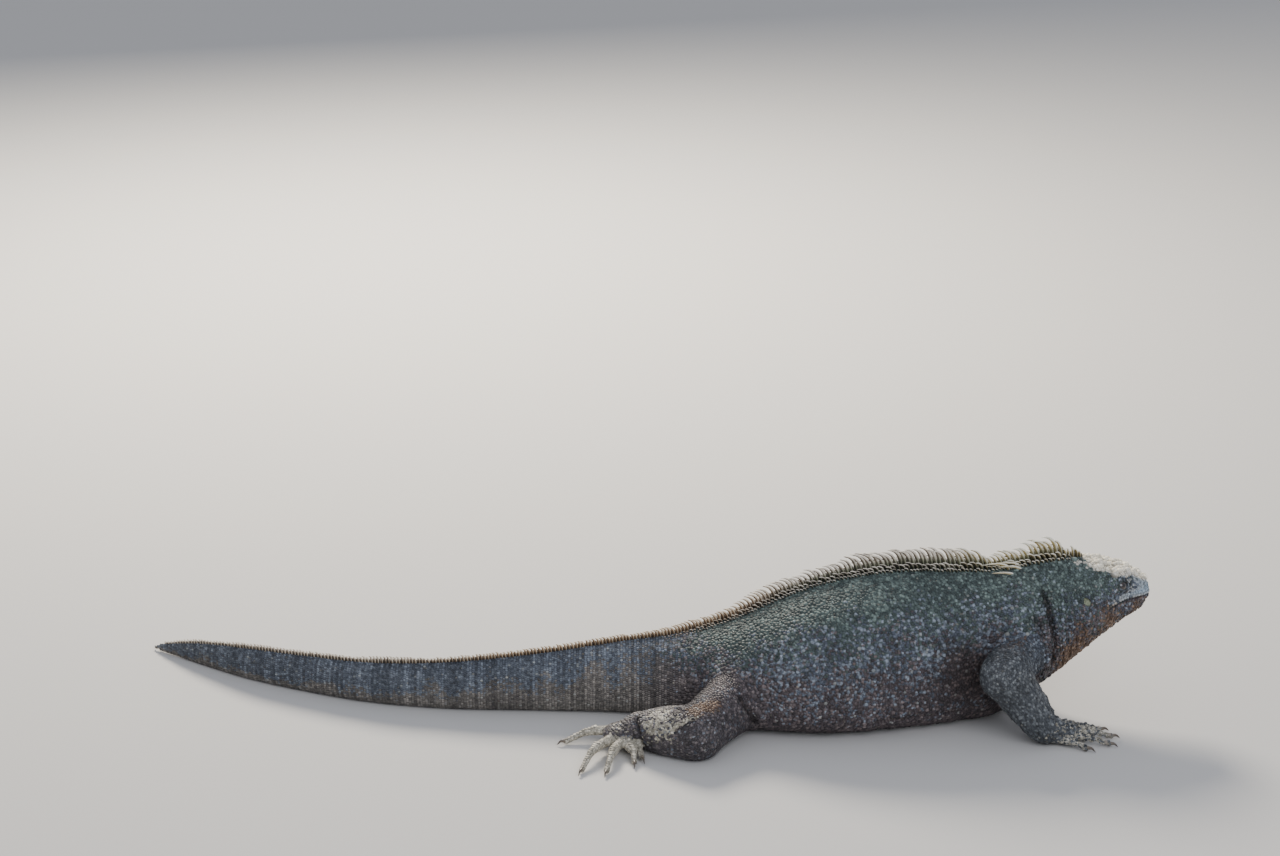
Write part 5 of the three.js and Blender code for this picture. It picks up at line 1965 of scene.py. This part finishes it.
def eye_balls():
    """A wet ball behind each pair of lids, with how far each of its points is from where it looks."""
    finish = eye_material()
    around, rings = 32, 23
    gaze = np.append(np.repeat(math.pi * np.arange(rings, 0, -1) / (rings + 1), around), [0, math.pi])
    turn = np.append(np.tile(2 * math.pi * np.arange(around) / around, rings), [0, 0])
    ball = np.column_stack([np.sin(gaze) * np.cos(turn), np.sin(gaze) * np.sin(turn), np.cos(gaze)])
    back = len(ball) - 1
    faces = tube_faces(0, around, rings) + [(back, (i + 1) % around, i) for i in range(around)]
    for eye in eyes:
        turned = ball @ np.array([eye.ahead, np.cross(eye.out, eye.ahead), eye.out])
        centre = eye.place - eye.out * EYE["depth"]
        mesh = mesh_of("eye_" + eye.side, centre + turned * (EYE["radius"] - 0.35), faces)
        give(mesh, gaze=gaze)
        mesh.materials.append(finish)
        nodes = [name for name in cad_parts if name.startswith("eye") and eye.side in name]
        piece_of("eyeball_" + eye.side, mesh, "eye", *nodes)


eye_balls()


# Claws

CLAW_STOPS = (0, 5.5, 10.6, 15.6)  # how far along a claw its root, two bends and point are
CLAW_RADIUS = 2.7
CLAW_POINT = 1.2  # the level of its point


def claws():
    """A bent horny claw on every toe, as one mesh."""
    points, faces, shares = [], [], []
    around, rings = 10, 8
    for leg in LEGS.values():
        for line, _ in leg["lines"]:
            tip, axis = line[-1], unit(line[-1] - line[-2])
            level = unit(axis * vec(1, 1, 0))
            root = tip - axis * 4
            bend = tip + level * 1.5 + vec(0, 0, 0.8)
            beyond = tip + level * 6.5 + vec(0, 0, 1.0)
            end = tip + level * CLAW_LENGTH
            knots = np.vstack([root, bend, beyond, [end[0], end[1], CLAW_POINT]])
            table = Table(np.column_stack([CLAW_STOPS, knots]))
            first = len(points)
            for ring in range(rings):
                share = ring / rings
                middle = table.at(np.array(CLAW_STOPS[-1] * share))
                ahead = unit(table.at(np.array(CLAW_STOPS[-1] * share + 0.4)) - middle)
                side = unit(np.cross(ahead, vec(0, 0, 1)))
                over = np.cross(side, ahead)
                radius = CLAW_RADIUS * (1 - share) ** 0.75 + 0.12
                for i in range(around):
                    angle = 2 * math.pi * i / around
                    spread = side * math.cos(angle) * 0.82 + over * math.sin(angle) * 1.1
                    points.append(middle + spread * radius)
                    shares.append(share)
            points.append(table.at(np.array(CLAW_STOPS[-1])))
            shares.append(1.0)
            faces += tube_faces(first, around, rings, clockwise=True)
            faces.append(tuple(range(first, first + around)))
    points = np.array(points)
    points[:, 2] = np.maximum(points[:, 2], 0.3)
    mesh = mesh_of("claws", points, faces)
    give(mesh, share=np.array(shares))
    mesh.materials.append(claw_material())
    return piece_of("claws", mesh, "claw", *[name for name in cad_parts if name.startswith("claw_")])


claws()


# The studio

AIM = (-0.2, 0, 0.08)  # what the lamps point at, in metres as all of the studio
LAMPS = [  # name, place, size, power, colour
    ("key", (-0.8, 2.3, 1.75), 0.9, 135, (1.0, 0.92, 0.8)),
    ("fill", (0.9, -2.6, 2.2), 2.4, 44, (0.88, 0.91, 1.0)),
]
LENS, FRAME_WIDTH = 88.594, 36
CAMERA_PLACE = (-0.231913, -3.190382, 1.420450)
CAMERA_DIP = 18.938  # how far down the camera looks, in degrees


def studio():
    """The pale floor and sky, the lamps, and the camera with the framing of the photograph."""
    mesh = bpy.data.meshes.new("floor")
    ring = [(30 * math.cos(a), 30 * math.sin(a), 0) for a in np.linspace(0, 2 * math.pi, 64, endpoint=False)]
    mesh.from_pydata(ring, [], [tuple(range(64))])
    tree = material("pale floor", roughness=0.85, specular=0.2)
    tree.shader.inputs["Base Color"].default_value = tint("d6d4cf")
    mesh.materials.append(tree.material)
    floor = placed("floor", mesh)

    world = bpy.data.worlds.new("studio")
    world.use_nodes = True
    world.node_tree.nodes["Background"].inputs["Color"].default_value = (0.84, 0.88, 1.0, 1.0)
    world.node_tree.nodes["Background"].inputs["Strength"].default_value = 0.55
    bpy.context.scene.world = world
    for name, place, size, power, colour in LAMPS:
        lamp = bpy.data.lights.new(name, "AREA")
        lamp.shape = "DISK"
        lamp.size, lamp.energy, lamp.color = size, power, colour
        holder = placed(name, lamp)
        holder.location = place
        aim = Vector(AIM) - Vector(place)
        holder.rotation_euler = aim.to_track_quat("-Z", "Y").to_euler()

    camera = bpy.data.cameras.new("camera")
    camera.sensor_width, camera.lens = FRAME_WIDTH, LENS
    camera.clip_end = 100
    holder = placed("camera", camera)
    holder.location = CAMERA_PLACE
    holder.rotation_euler = (math.radians(90 - CAMERA_DIP), 0, 0)
    bpy.context.scene.camera = holder


studio()

for shape in (granule, lapped, keeled, cone, plate):
    bpy.data.objects.remove(shape)
